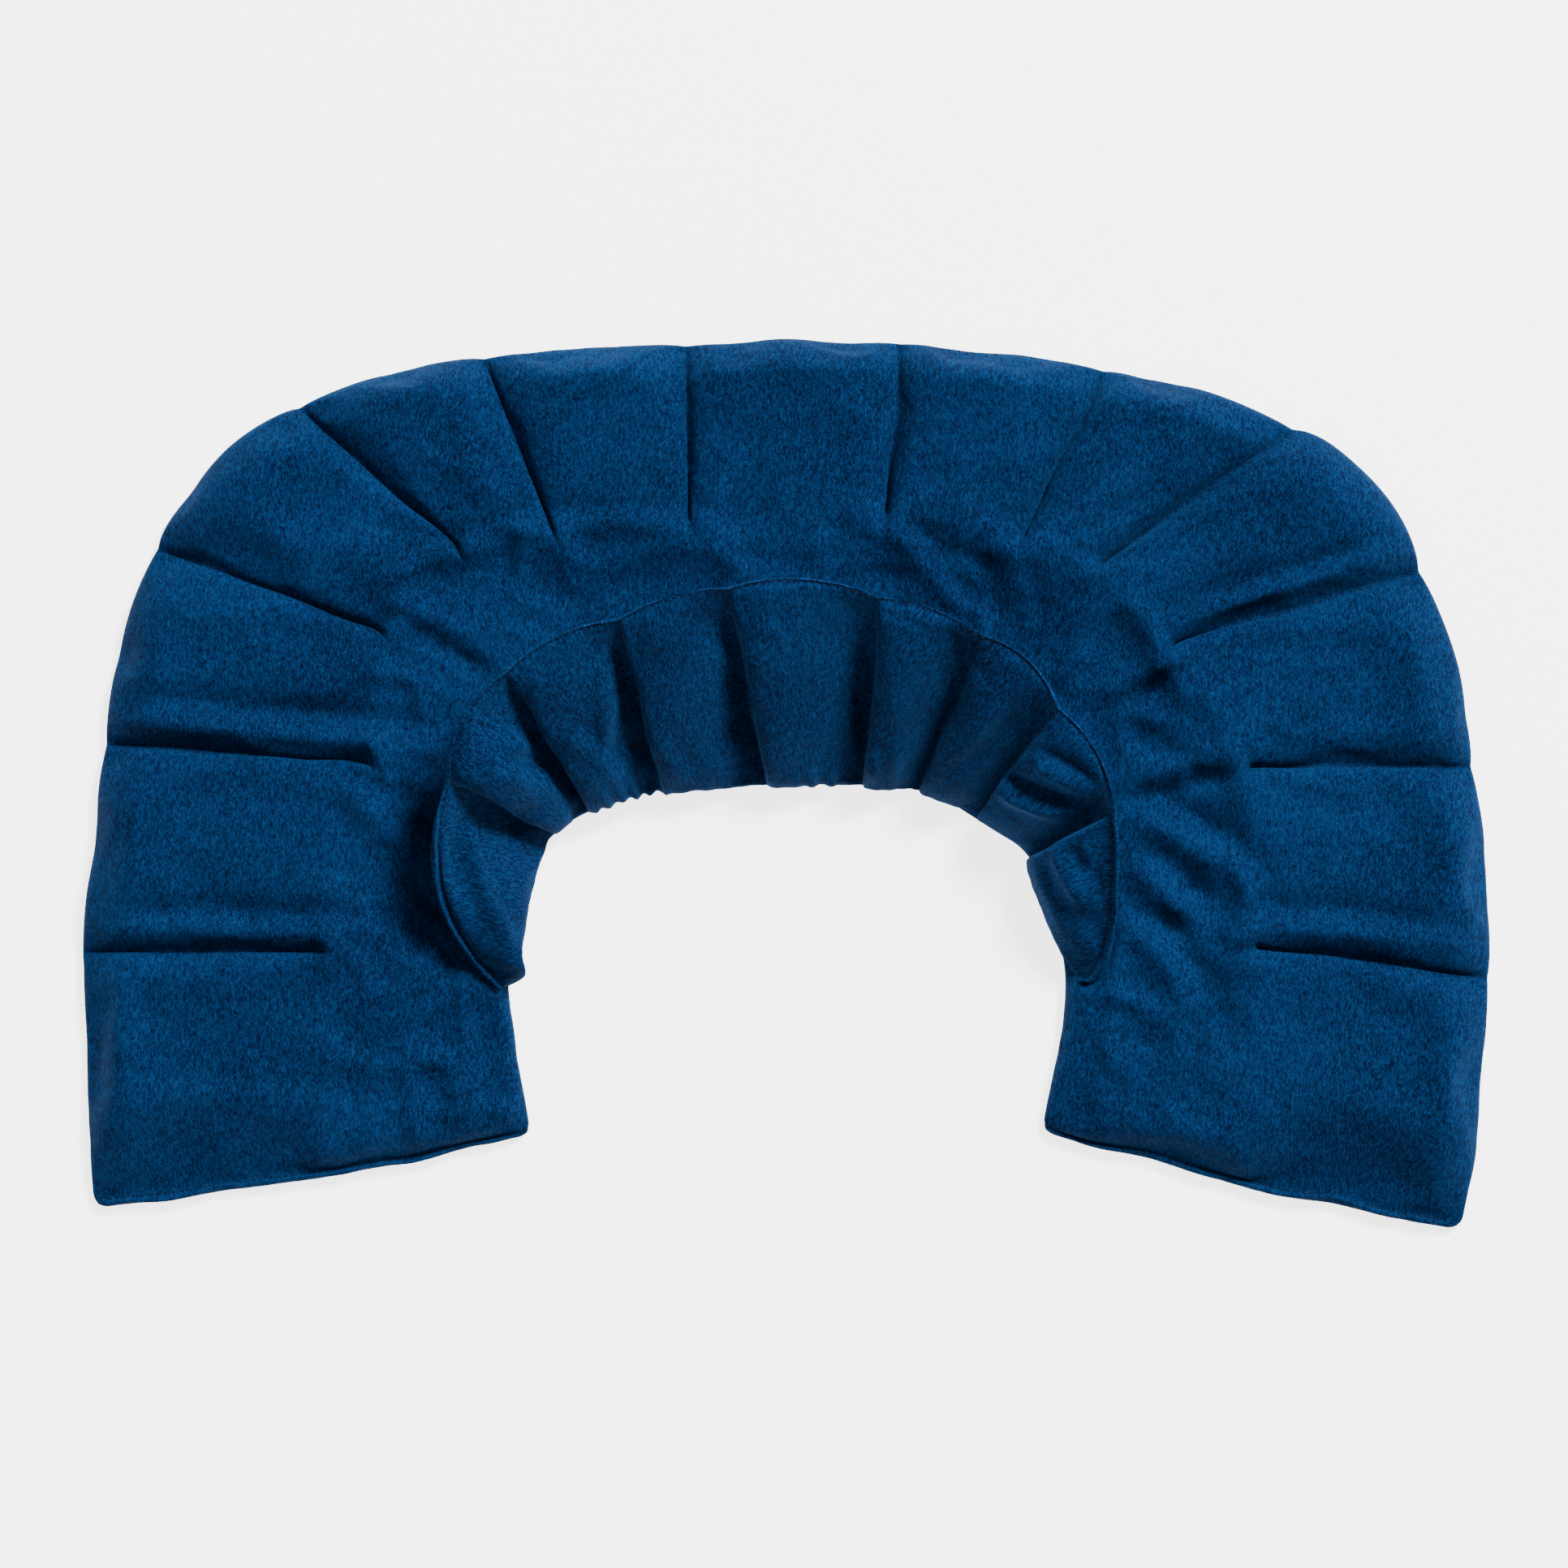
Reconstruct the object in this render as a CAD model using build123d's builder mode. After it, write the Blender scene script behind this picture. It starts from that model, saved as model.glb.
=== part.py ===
from build123d import *
import math
import os

# A quilted, bead-filled neck and shoulder wrap with a standing collar, lying flat. Millimetres.
# Origin: on the surface that it lies on, midway across and midway from the back edge to the leg ends.
# +X runs across the shoulders, +Y towards the wearer's back, +Z up. The neck opening faces -Y.

# Overall sizes
overall_width = 600.0
overall_length = 378.0
back_depth = 190.0  # back edge to neckline
collar_top = 62.0  # free edge of the collar above the surface

# Cloth and thread
cloth = 2.0  # plush with its pile
thread_width = 1.0
thread_height = 0.8

# Bead pads of the body: a steep lower flank, then a flatter crown
edge_margin = 6.0  # from the outer edge to the beads
closing_margin = 14.0  # from the leg's end to the beads, which leaves room for the closing seam
lower_rise = 10.0
lower_slope = 45.0  # degrees from upright
crown_rise = 8.0
crown_slope = 70.0
groove_half = 2.2  # half the width of a quilting groove at its floor
charge_gap = 0.3  # between neighbouring bead charges

# Quilting seams of the right half, from the centre outwards: the outer end from the centre line or
# from the side, and from the back edge, then the heading from straight forward, and the length
near_seams = [(46.0, 2.0, 3.2, 73.0), (132.0, 11.0, 23.8, 76.0)]
side_seams = [(89.0, 34.0, 51.8, 94.0), (32.0, 94.0, 71.3, 106.0), (10.0, 177.0, 87.5, 104.0)]
outer_bulges = [2.0, 1.5, 3.0, 8.0, 2.5, 1.5]  # how far each channel's outer edge bows out

# Neckline of the right half: from the centre line, and forward of the neckline's back
neck_corners = [(20.5, 0.0), (53.0, 0.0), (80.0, 9.0), (101.0, 23.0)]
neck_half_width = 119.5  # at the fold
# where each channel's line meets the neckline, from the centre line, and forward of the neckline's back
channel_feet = [(30.0, 0.0), (58.0, 2.0), (83.0, 10.0), (103.0, 30.0), (111.0, 55.0)]
fold_setback = 86.0  # from the neckline's back to the fold's inner end
fold_skew = 9.0  # how far back the fold's outer end lies from its inner end
fold_gap = 2.7  # from the fold line to the leg panel's cloth
leg_taper = 9.0  # how far the leg's outer corner lies in from the side
leg_slant = 42.0  # how far back the leg's inner corner lies from its outer corner
leg_inset = 11.0  # how far the leg's inner corner lies in from the fold's inner end

# Collar
collar_inset = 6.0  # from the neckline to the middle of the collar's foot
collar_wall = 3.2  # cloth of the leaning collar, measured level
collar_end_gap = 5.0  # from the fold to the collar's end
collar_clearance = 5.06  # height left over the pad's first shoulder below the collar's middle
collar_margin = 4.0  # from a collar seam to the beads
collar_shoulder = 10.0  # run from the beads' edge to their full thickness
collar_blunt = 0.8  # half thickness of the beads at their edge
collar_split = 0.6  # from a parting seam to the cloth on each side of it
collar_lift = 0.06  # share of the height left open below the part that tips
rim_stitch = 0.94  # share of the collar's height where the rim is stitched
seam_stitch = (0.10, 0.92)  # shares of the height that the collar's seam threads span
rim_corners = [(30.5, 83.0), (79.0, 67.0), (117.0, 43.0), (141.5, -4.0), (150.0, -74.0)]
# share of the collar's height, thickness to the neck side, thickness to the body side
collar_levels = [(0.12, 2.0, 1.0), (0.35, 9.0, 3.0), (0.72, 11.0, 9.0), (0.90, 3.0, 2.0)]
cover_reach = 0.03  # share of the height by which the cloth passes the beads, at foot and rim
parting_seams = (3, 6)  # seams beside the part of the collar that tips

# Values that follow
half_width = overall_width / 2
back_y = overall_length / 2
front_y = -overall_length / 2
neck_y = back_y - back_depth
flange_top = 2 * cloth
collar_rise = collar_top - flange_top
collar_run = rim_corners[0][1] - collar_inset  # level, from the collar's foot to its free edge
# from the neckline to the beads, which keeps their first shoulder clear below the leaning collar
shoulder_reach = (lower_rise + collar_clearance) * collar_run / collar_rise
neck_margin = collar_inset + shoulder_reach - lower_rise * math.tan(math.radians(lower_slope))
skin_run = cloth / math.cos(math.radians(lower_slope))
crown_run = math.tan(math.radians(crown_slope))


def lerp(a, b, share):
    return (a[0] + (b[0] - a[0]) * share, a[1] + (b[1] - a[1]) * share)


def mirrored(points):
    return [(-x, y) for x, y in reversed(points)]


def unit(a, b):
    length = math.hypot(b[0] - a[0], b[1] - a[1])
    return ((b[0] - a[0]) / length, (b[1] - a[1]) / length)


def moved(point, direction, distance):
    return (point[0] + direction[0] * distance, point[1] + direction[1] * distance)


def left_of(direction):
    return (-direction[1], direction[0])


def vertex_normals(points):
    """Mitred normals of an open line, to the left of its travel; their length keeps the offset even."""
    runs = [unit(a, b) for a, b in zip(points, points[1:])]
    normals = []
    for i in range(len(points)):
        before = left_of(runs[max(i - 1, 0)])
        after = left_of(runs[min(i, len(runs) - 1)])
        total = (before[0] + after[0], before[1] + after[1])
        square = total[0] ** 2 + total[1] ** 2
        normals.append((2 * total[0] / square, 2 * total[1] / square))
    return normals


def offset_line(points, distance):
    return [moved(p, n, distance) for p, n in zip(points, vertex_normals(points))]


def face_of(points, z):
    """A closed polygon at a height, as a sketch."""
    with BuildSketch(Plane.XY.offset(z)) as sketch:
        with BuildLine():
            Polyline(*points, close=True)
        make_face()
    return sketch.sketch


def save(part, name):
    part.label = name
    export_step(part, "parts/" + name + ".step")


# Plan of the body: seam lines, neckline and fold lines of the right half
seam_outer = [(x, back_y - down) for x, down, _, _ in near_seams]
seam_outer += [(half_width - inset, back_y - down) for inset, down, _, _ in side_seams]
seam_inner = []
for end, (_, _, heading, length) in zip(seam_outer, near_seams + side_seams):
    turn = math.radians(heading)
    seam_inner.append(moved(end, (-math.sin(turn), -math.cos(turn)), length))
neck_right = [(x, neck_y - forward) for x, forward in neck_corners]
fold_inner = (neck_half_width, neck_y - fold_setback)
fold_outer = (half_width, neck_y - fold_setback + fold_skew)
leg_outer = (half_width - leg_taper, front_y)
leg_inner = (neck_half_width - leg_inset, front_y + leg_slant)
neckline = mirrored(neck_right + [fold_inner]) + neck_right + [fold_inner]
outer_ends = mirrored(seam_outer + [fold_outer]) + seam_outer + [fold_outer]
bulges = outer_bulges[:0:-1] + outer_bulges


def back_outline():
    """Outline of the body between the two folds."""
    with BuildSketch() as sketch:
        with BuildLine():
            for start, end, bulge in zip(outer_ends, outer_ends[1:], bulges):
                SagittaArc(start, end, bulge)
            Polyline(outer_ends[-1], *reversed(neckline), outer_ends[0])
        make_face()
    return sketch.sketch


def shoulder_outline():
    """Outline of the body between the two folds with the neck opening filled in."""
    with BuildSketch() as sketch:
        with BuildLine():
            for start, end, bulge in zip(outer_ends, outer_ends[1:], bulges):
                SagittaArc(start, end, bulge)
            Polyline(outer_ends[-1], neckline[-1], neckline[0], outer_ends[0])
        make_face()
    return sketch.sketch


def neck_zone(margin):
    """Corners of the neck opening, grown on every side, as far forward as the fold's ends."""
    forward = neck_y - overall_length
    start, *middle, end = offset_line(neckline, margin)
    return [(start[0], forward), start, *middle, end, (end[0], forward)]


def pad_levels(grown):
    """Heights above the bottom cloth and insets of a pad's profile, or of the cloth's outside."""
    flank_run = math.tan(math.radians(lower_slope))
    lift = cloth / math.sin(math.radians(crown_slope)) if grown else 0.0
    start = -skin_run if grown else 0.0
    knee = lower_rise + (lift * crown_run + start) / (crown_run - flank_run)
    top = lower_rise + crown_rise + lift
    shoulder = start + knee * flank_run
    return [(0.0, start), (knee, shoulder), (top, shoulder + (top - knee) * crown_run)]


def raise_pad(outline, margin, grown):
    """A pad on the bottom cloth, or the outside of the cloth over it."""
    with BuildPart() as pad:
        for rise, inset in pad_levels(grown):
            with BuildSketch(Plane.XY.offset(cloth + rise)):
                add(outline)
                offset(amount=-margin - inset, kind=Kind.INTERSECTION, mode=Mode.REPLACE)
        loft(ruled=True)
    return pad.part


def back_pad(grown):
    """The beads of the body between the folds, with their quilting grooves, or the cloth's outside."""
    floor = flange_top if grown else cloth
    half = groove_half - (skin_run if grown else 0.0) + floor - cloth
    reach = lower_rise + crown_rise + cloth
    spread = 2 * reach * math.tan(math.radians(lower_slope))
    whole = raise_pad(shoulder_outline(), edge_margin, grown)
    with BuildPart() as pad:
        add(whole)
        for rise, inset in pad_levels(grown):
            with BuildSketch(Plane.XY.offset(cloth + rise)):
                with BuildLine():
                    Polyline(*neck_zone(neck_margin + inset), close=True)
                make_face()
        loft(ruled=True, mode=Mode.SUBTRACT)
        for side in (-1, 1):
            for outer, inner in zip(seam_outer, seam_inner):
                start = moved(outer, unit(inner, outer), edge_margin)
                middle = lerp(start, inner, 0.5)
                run = unit(start, inner)
                angle = math.degrees(math.atan2(run[1], side * run[0]))
                for z, grow in ((floor, 0.0), (floor + reach, spread)):
                    with BuildSketch(Plane.XY.offset(z)):
                        with Locations((side * middle[0], middle[1])):
                            Rectangle(math.dist(start, inner) + grow, 2 * half + grow, rotation=angle)
                loft(ruled=True, mode=Mode.SUBTRACT)
    return pad.part


os.makedirs("parts", exist_ok=True)

# Body between the folds: bottom cloth, beads and top cloth
body_outline = back_outline()
with BuildPart() as bottom_cover_back:
    add(body_outline)
    extrude(amount=cloth)
save(bottom_cover_back.part, "bottom_cover_back")

beads_back = back_pad(False)
crown_back = back_pad(True)
with BuildPart() as top_cover_back:
    with BuildSketch(Plane.XY.offset(cloth)):
        add(body_outline)
    extrude(amount=cloth)
    add(crown_back)
    add(beads_back, mode=Mode.SUBTRACT)
save(top_cover_back.part, "top_cover_back")

# One measured charge of beads in each channel and the band behind it, parted from the seam's inner
# end to the neckline
with BuildPart() as charges:
    add(beads_back)
    for side in (-1, 1):
        for outer, inner, (x, forward) in zip(seam_outer, seam_inner, channel_feet):
            neck_end = (x, neck_y - forward)
            start = moved(inner, unit(inner, outer), groove_half)
            end = moved(neck_end, unit(inner, neck_end), neck_margin)
            middle = lerp(start, end, 0.5)
            run = unit(start, end)
            angle = math.degrees(math.atan2(run[1], side * run[0]))
            with BuildSketch():
                with Locations((side * middle[0], middle[1])):
                    Rectangle(math.dist(start, end), charge_gap, rotation=angle)
            extrude(amount=collar_top, mode=Mode.SUBTRACT)


def bearing(solid):
    centre = solid.center()
    return math.atan2(centre.X, centre.Y - neck_y)


channels = charges.part.solids().sort_by(bearing)
middle_channel = len(channels) // 2
for number, solid in enumerate(channels):
    step = number - middle_channel
    side_name = "left_" + str(-step) if step < 0 else "right_" + str(step)
    save(solid, "bead_charge_" + (side_name if step else "back"))

# Leg ends, which fold at the last seam of each side
fold_run = unit(fold_inner, fold_outer)
fold_forward = (fold_run[1], -fold_run[0])
leg_corners = [
    moved(fold_inner, fold_forward, fold_gap),
    moved(fold_outer, fold_forward, fold_gap),
    leg_outer,
    leg_inner,
]
closing_run = unit(leg_inner, leg_outer)
closing_setback = closing_margin - edge_margin
leg_bed = face_of(
    [
        leg_corners[0],
        leg_corners[1],
        moved(leg_outer, unit(leg_outer, leg_corners[1]), closing_setback),
        moved(leg_inner, unit(leg_inner, leg_corners[0]), closing_setback),
    ],
    0,
)

with BuildPart() as leg_bottom:
    add(face_of(leg_corners, 0))
    extrude(amount=cloth)

leg_beads = raise_pad(leg_bed, edge_margin, False)
leg_crown = raise_pad(leg_bed, edge_margin, True)
with BuildPart() as leg_top:
    add(face_of(leg_corners, cloth))
    extrude(amount=cloth)
    add(leg_crown)
    add(leg_beads, mode=Mode.SUBTRACT)


def stitch_bar(start, end, z):
    """A line of stitches as one bar between two points, standing on a level."""
    middle = lerp(start, end, 0.5)
    run = unit(start, end)
    with BuildPart() as bar:
        with BuildSketch(Plane.XY.offset(z)):
            with Locations(middle):
                angle = math.degrees(math.atan2(run[1], run[0]))
                Rectangle(math.dist(start, end), thread_width, rotation=angle)
        extrude(amount=thread_height)
    return bar.part


closing_inset = closing_margin / 3
closing_in = left_of(closing_run)
closing_thread = stitch_bar(
    moved(moved(leg_inner, closing_run, edge_margin), closing_in, closing_inset),
    moved(moved(leg_outer, closing_run, -edge_margin), closing_in, closing_inset),
    flange_top,
)
fold_thread = stitch_bar(
    moved(moved(fold_inner, fold_run, edge_margin), fold_forward, thread_width / 2),
    moved(moved(fold_outer, fold_run, -edge_margin), fold_forward, thread_width / 2),
    cloth - thread_height / 2,
)

leg_pieces = {
    "bottom_cover": leg_bottom.part,
    "top_cover": leg_top.part,
    "bead_charge": leg_beads,
    "closing_thread": closing_thread,
    "fold_thread": fold_thread,
}
for name, right in leg_pieces.items():
    save(right, name + "_right_leg")
    save(mirror(right, about=Plane.YZ), name + "_left_leg")

# Quilting threads of the body, in the floors of the grooves
seam_bars = []
for outer, inner in zip(seam_outer, seam_inner):
    seam_bars.append(stitch_bar(moved(outer, unit(outer, inner), thread_width), inner, flange_top))
with BuildPart() as quilting_threads:
    for bar in seam_bars:
        add(bar)
        add(mirror(bar, about=Plane.YZ, mode=Mode.PRIVATE))
save(quilting_threads.part, "quilting_threads")

# Collar: its foot follows the neckline, its rim stands higher and further out
last_run = unit(fold_inner, neck_right[-1])
foot_line = neck_right + [moved(fold_inner, last_run, collar_end_gap)]
seat = mirrored(foot_line) + foot_line
foot = offset_line(seat, collar_inset)
rim_right = [(x, neck_y + y) for x, y in rim_corners]
rim = mirrored(rim_right) + rim_right
chambers = len(foot) - 1


def height_of(share):
    return flange_top + collar_rise * share


def collar_points(first, last, share):
    """The collar's middle line at a share of its height, parted a little at the parting seams."""
    points = [lerp(a, b, share) for a, b in zip(foot, rim)]
    chosen = points[first : last + 1]
    if first in parting_seams:
        chosen[0] = moved(chosen[0], unit(chosen[0], chosen[1]), collar_split)
    if last in parting_seams:
        chosen[-1] = moved(chosen[-1], unit(chosen[-1], chosen[-2]), collar_split)
    return chosen


def loft_levels(shapes):
    """A solid through closed polygons, given as pairs of height and points."""
    with BuildPart() as solid:
        for z, points in shapes:
            with BuildSketch(Plane.XY.offset(z)):
                with BuildLine():
                    Polyline(*points, close=True)
                make_face()
        loft(ruled=True)
    return solid.part


def edge_line(first, last, share, distance):
    """A line on the collar's cloth, at an offset from the middle line; straight from foot to rim."""
    low = offset_line(collar_points(first, last, 0.0), distance)
    high = offset_line(collar_points(first, last, 1.0), distance)
    return [lerp(a, b, share) for a, b in zip(low, high)]


def band(first, last, low, high, near, far, span=slice(None)):
    """Cloth or thread along the collar, between two offsets from its middle line."""
    shapes = []
    for share in (low, high):
        edge = edge_line(first, last, share, near)[span]
        shapes.append((height_of(share), edge + edge_line(first, last, share, far)[span][::-1]))
    return loft_levels(shapes)


def lean_factor(number):
    """How much further a thickness reaches when it is measured level."""
    low = lerp(foot[number], foot[number + 1], 0.5)
    high = lerp(rim[number], rim[number + 1], 0.5)
    return math.hypot(math.dist(low, high), collar_rise) / collar_rise


def chamber_ends(number, share, margin):
    a, b = (lerp(foot[i], rim[i], share) for i in (number, number + 1))
    run = unit(a, b)
    return moved(a, run, margin), moved(b, run, -margin), run


def chamber_beads(number):
    shapes = []
    for share, neck_side, body_side in collar_levels:
        a, b, run = chamber_ends(number, share, collar_margin)
        out = left_of(run)
        factor = lean_factor(number)
        points = []
        for side, depth in ((-1, neck_side), (1, body_side)):
            flank = [moved(a, out, side * collar_blunt)]
            flank.append(moved(moved(a, run, collar_shoulder), out, side * depth * factor))
            flank.append(moved(moved(b, run, -collar_shoulder), out, side * depth * factor))
            flank.append(moved(b, out, side * collar_blunt))
            points += flank if side < 0 else flank[::-1]
        shapes.append((height_of(share), points))
    return loft_levels(shapes)


def chamber_cloth(number, side):
    """The outside of the cloth over one side of a chamber's beads."""
    shapes = []
    for level, (share, neck_side, body_side) in enumerate(collar_levels):
        if level == 0:
            share -= cover_reach
        if level == len(collar_levels) - 1:
            share += cover_reach
        a, b, run = chamber_ends(number, share, collar_margin - cloth)
        out = left_of(run)
        depth = (neck_side if side < 0 else body_side) * lean_factor(number) + collar_wall
        points = [moved(a, out, side * collar_wall / 2)]
        points.append(moved(moved(a, run, collar_shoulder), out, side * depth))
        points.append(moved(moved(b, run, -collar_shoulder), out, side * depth))
        points.append(moved(b, out, side * collar_wall / 2))
        shapes.append((height_of(share), points))
    return loft_levels(shapes)


def end_plane(side, drop):
    """The plane that slopes the collar's rim down to its end; its normal points up and away."""
    top, bottom = (rim[1], foot[0]) if side < 0 else (rim[-2], foot[-1])
    along = Vector(bottom[0] - top[0], bottom[1] - top[1], height_of(collar_lift) - collar_top)
    run = unit(foot[0], foot[1]) if side < 0 else unit(foot[-2], foot[-1])
    out = left_of(run)
    normal = along.cross(Vector(out[0], out[1], 0)).normalized()
    if normal.Z < 0:
        normal = -normal
    origin = Vector(top[0], top[1], collar_top) - normal * drop
    return Plane(origin=origin, z_dir=normal)


def below(part, plane):
    with BuildPart() as kept:
        add(part)
        split(bisect_by=plane, keep=Keep.BOTTOM)
    return kept.part


def below_rim(part, number, drop):
    """Part of an end chamber that lies below the sloping rim; any other chamber as it is."""
    if number == 0:
        return below(part, end_plane(-1, drop))
    if number == chambers - 1:
        return below(part, end_plane(1, drop))
    return part


beads = []
for number in range(chambers):
    beads.append(below_rim(chamber_beads(number), number, collar_margin + cloth))
    save(beads[number], "collar_charge_" + str(number + 1))


def collar_panel(first, last, side):
    """One layer of the collar's cloth between two seams: side -1 faces the neck, 1 the body."""
    tips = first in parting_seams and last in parting_seams
    low = collar_lift if tips else 0.0
    sheet = band(first, last, low, 1.0, 0.0, side * collar_wall)
    crowns = []
    for number in range(first, last):
        crowns.append(below_rim(chamber_cloth(number, side), number, collar_margin))
    with BuildPart() as panel:
        add(sheet)
        add(crowns)
        add(beads[first:last], mode=Mode.SUBTRACT)
        if first == 0:
            split(bisect_by=end_plane(-1, 0.0), keep=Keep.BOTTOM)
        if last == chambers:
            split(bisect_by=end_plane(1, 0.0), keep=Keep.BOTTOM)
    return panel.part


def seam_thread(first, last, number):
    """Stitches up one collar seam, on the neck side of the cloth."""
    shapes = []
    place = number - first
    for share in seam_stitch:
        line = edge_line(first, last, share, -collar_wall)
        normal = vertex_normals(line)[place]
        point = line[place]
        if number in parting_seams:
            point = moved(point, unit(point, line[1] if place == 0 else line[-2]), thread_width)
        length = math.hypot(normal[0], normal[1])
        out = (normal[0] / length, normal[1] / length)
        across = (out[1], -out[0])
        lift = thread_width / 2 * math.sqrt(max(length**2 - 1, 0.0))
        corners = []
        for half, height in ((-1, lift), (1, lift), (1, lift + thread_height), (-1, lift + thread_height)):
            corners.append(moved(moved(point, across, half * thread_width / 2), out, -height))
        shapes.append((height_of(share), corners))
    return loft_levels(shapes)


def rim_thread(first, last):
    """Stitches below the collar's rim, on the neck side of the cloth."""
    near, far = -collar_wall, -collar_wall - thread_height
    top = rim_stitch + thread_width / collar_rise
    level_span = slice(1 if first == 0 else None, -1 if last == chambers else None)
    lines = [band(first, last, rim_stitch, top, near, far, level_span)]
    for side, at_end, span in ((-1, first == 0, slice(2)), (1, last == chambers, slice(-2, None))):
        if at_end:
            sheet = band(first, last, collar_lift, rim_stitch, near, far, span)
            shallow, deep = end_plane(side, thread_width), end_plane(side, 2 * thread_width)
            with BuildPart() as strip:
                add(sheet)
                split(bisect_by=shallow, keep=Keep.BOTTOM)
                split(bisect_by=deep, keep=Keep.TOP)
            lines.append(strip.part)
    with BuildPart() as thread:
        add(lines)
    return thread.part


collar_groups = {
    "left": (0, parting_seams[0], range(1, parting_seams[0])),
    "back": (parting_seams[0], parting_seams[1], range(parting_seams[0], parting_seams[1] + 1)),
    "right": (parting_seams[1], chambers, range(parting_seams[1] + 1, chambers)),
}
for place, (first, last, sewn) in collar_groups.items():
    save(collar_panel(first, last, -1), "collar_face_" + place)
    save(collar_panel(first, last, 1), "collar_lining_" + place)
    save(rim_thread(first, last), "collar_rim_thread_" + place)
    threads = [seam_thread(first, last, number) for number in sewn]
    with BuildPart() as collar_threads:
        add(threads)
    save(collar_threads.part, "collar_quilting_threads_" + place)

# Thread that sews the collar's foot to the neckline
near_edge = offset_line(seat, thread_width / 2)
far_edge = offset_line(seat, thread_width * 1.5)
with BuildPart() as neckline_thread:
    add(face_of(near_edge + far_edge[::-1], flange_top))
    extrude(amount=thread_height)
save(neckline_thread.part, "neckline_thread")
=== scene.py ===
"""A quilted, bead-filled neck and shoulder wrap with a leaning collar, in navy plush, lying flat."""
import logging
import math
from dataclasses import dataclass, field
from enum import Enum

import bpy
import numpy as np
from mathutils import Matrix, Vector


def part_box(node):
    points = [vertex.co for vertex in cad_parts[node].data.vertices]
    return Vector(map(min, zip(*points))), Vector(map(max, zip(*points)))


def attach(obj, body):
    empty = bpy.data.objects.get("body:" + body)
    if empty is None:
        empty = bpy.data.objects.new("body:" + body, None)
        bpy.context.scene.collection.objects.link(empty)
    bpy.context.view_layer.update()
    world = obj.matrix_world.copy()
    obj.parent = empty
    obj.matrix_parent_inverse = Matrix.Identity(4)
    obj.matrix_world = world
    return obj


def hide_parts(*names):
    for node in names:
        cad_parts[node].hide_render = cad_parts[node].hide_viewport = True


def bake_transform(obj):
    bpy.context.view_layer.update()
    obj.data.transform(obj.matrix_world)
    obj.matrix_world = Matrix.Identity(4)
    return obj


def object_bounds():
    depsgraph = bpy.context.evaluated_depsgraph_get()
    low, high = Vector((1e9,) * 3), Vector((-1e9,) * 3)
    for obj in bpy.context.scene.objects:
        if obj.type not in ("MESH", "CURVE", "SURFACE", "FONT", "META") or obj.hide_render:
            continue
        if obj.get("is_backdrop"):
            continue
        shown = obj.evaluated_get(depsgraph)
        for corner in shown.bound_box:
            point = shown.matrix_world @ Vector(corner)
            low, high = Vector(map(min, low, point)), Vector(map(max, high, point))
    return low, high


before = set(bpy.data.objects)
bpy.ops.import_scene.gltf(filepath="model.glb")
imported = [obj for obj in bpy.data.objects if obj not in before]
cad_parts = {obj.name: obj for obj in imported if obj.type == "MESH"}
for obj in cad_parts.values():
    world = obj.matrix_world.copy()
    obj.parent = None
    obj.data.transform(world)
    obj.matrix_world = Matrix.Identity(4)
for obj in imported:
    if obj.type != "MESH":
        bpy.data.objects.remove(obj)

MM = 0.001
TINY = 1e-9
PLACES = ("left", "back", "right")
log = logging.getLogger("wrap")
Pair = tuple[float, float]
Place = tuple[float, float, float]
Colour = tuple[float, float, float, float]
Line = tuple[np.ndarray, np.ndarray]
WHITE: Colour = (1.0, 1.0, 1.0, 1.0)

# The plush as cloth that is blown up, and the frame at which it is full
PLUSH_CLOTH = {
    "quality": 6,
    "mass": 0.25,
    "tension_stiffness": 12.0,
    "compression_stiffness": 12.0,
    "shear_stiffness": 4.0,
    "bending_stiffness": 0.35,
    "air_damping": 4.0,
    "pin_stiffness": 1.0,
    "use_pressure": True,
}
BLOWN_AFTER = 20


def smooth_step(share: np.ndarray) -> np.ndarray:
    """Returns share held between 0 and 1 and eased at both ends."""
    held = np.clip(share, 0.0, 1.0)
    return held * held * (3.0 - 2.0 * held)


def curve_through(points: np.ndarray, shares: np.ndarray) -> np.ndarray:
    """Follows a smooth curve through given points.

    Args:
        points: the points, one row each.
        shares: places along the curve, where a whole number is a point.

    Returns:
        One row for each share.
    """
    last = len(points) - 1
    ends = np.vstack([2 * points[0] - points[1], points, 2 * points[-1] - points[-2]])
    span = np.clip(np.floor(shares).astype(int), 0, last - 1)
    part = (shares - span)[:, None]
    a, b, c, d = (ends[span + step] for step in range(4))
    slope = (c - a) * part
    bend = (2 * a - 5 * b + 4 * c - d) * part ** 2
    twist = (3 * b - a - 3 * c + d) * part ** 3
    return b + 0.5 * (slope + bend + twist)


def soft_noise(places: np.ndarray, pitch: float, seed: int) -> np.ndarray:
    """Gives smooth noise from -1 to 1 over the plane.

    Args:
        places: points whose first two columns are read.
        pitch: size of one wave, in metres.
        seed: which pattern.

    Returns:
        One value for each place.
    """
    side = 256
    lattice = np.random.default_rng(seed).uniform(-1.0, 1.0, (side, side))
    cells = places[..., :2] / pitch
    low = np.floor(cells).astype(int)
    part = smooth_step(cells - low)
    across, up = part[..., 0], part[..., 1]
    x, y = low[..., 0] % side, low[..., 1] % side
    next_x, next_y = (x + 1) % side, (y + 1) % side
    near = lattice[x, y] * (1 - across) + lattice[next_x, y] * across
    far = lattice[x, next_y] * (1 - across) + lattice[next_x, next_y] * across
    return near * (1 - up) + far * up


def creased_noise(places: np.ndarray, pitch: float, seed: int) -> np.ndarray:
    """Gives noise from -1 to 1 with narrow crests, as of crumpled cloth, in the way of soft_noise."""
    return 1 - 2 * np.abs(soft_noise(places, pitch, seed))


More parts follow.
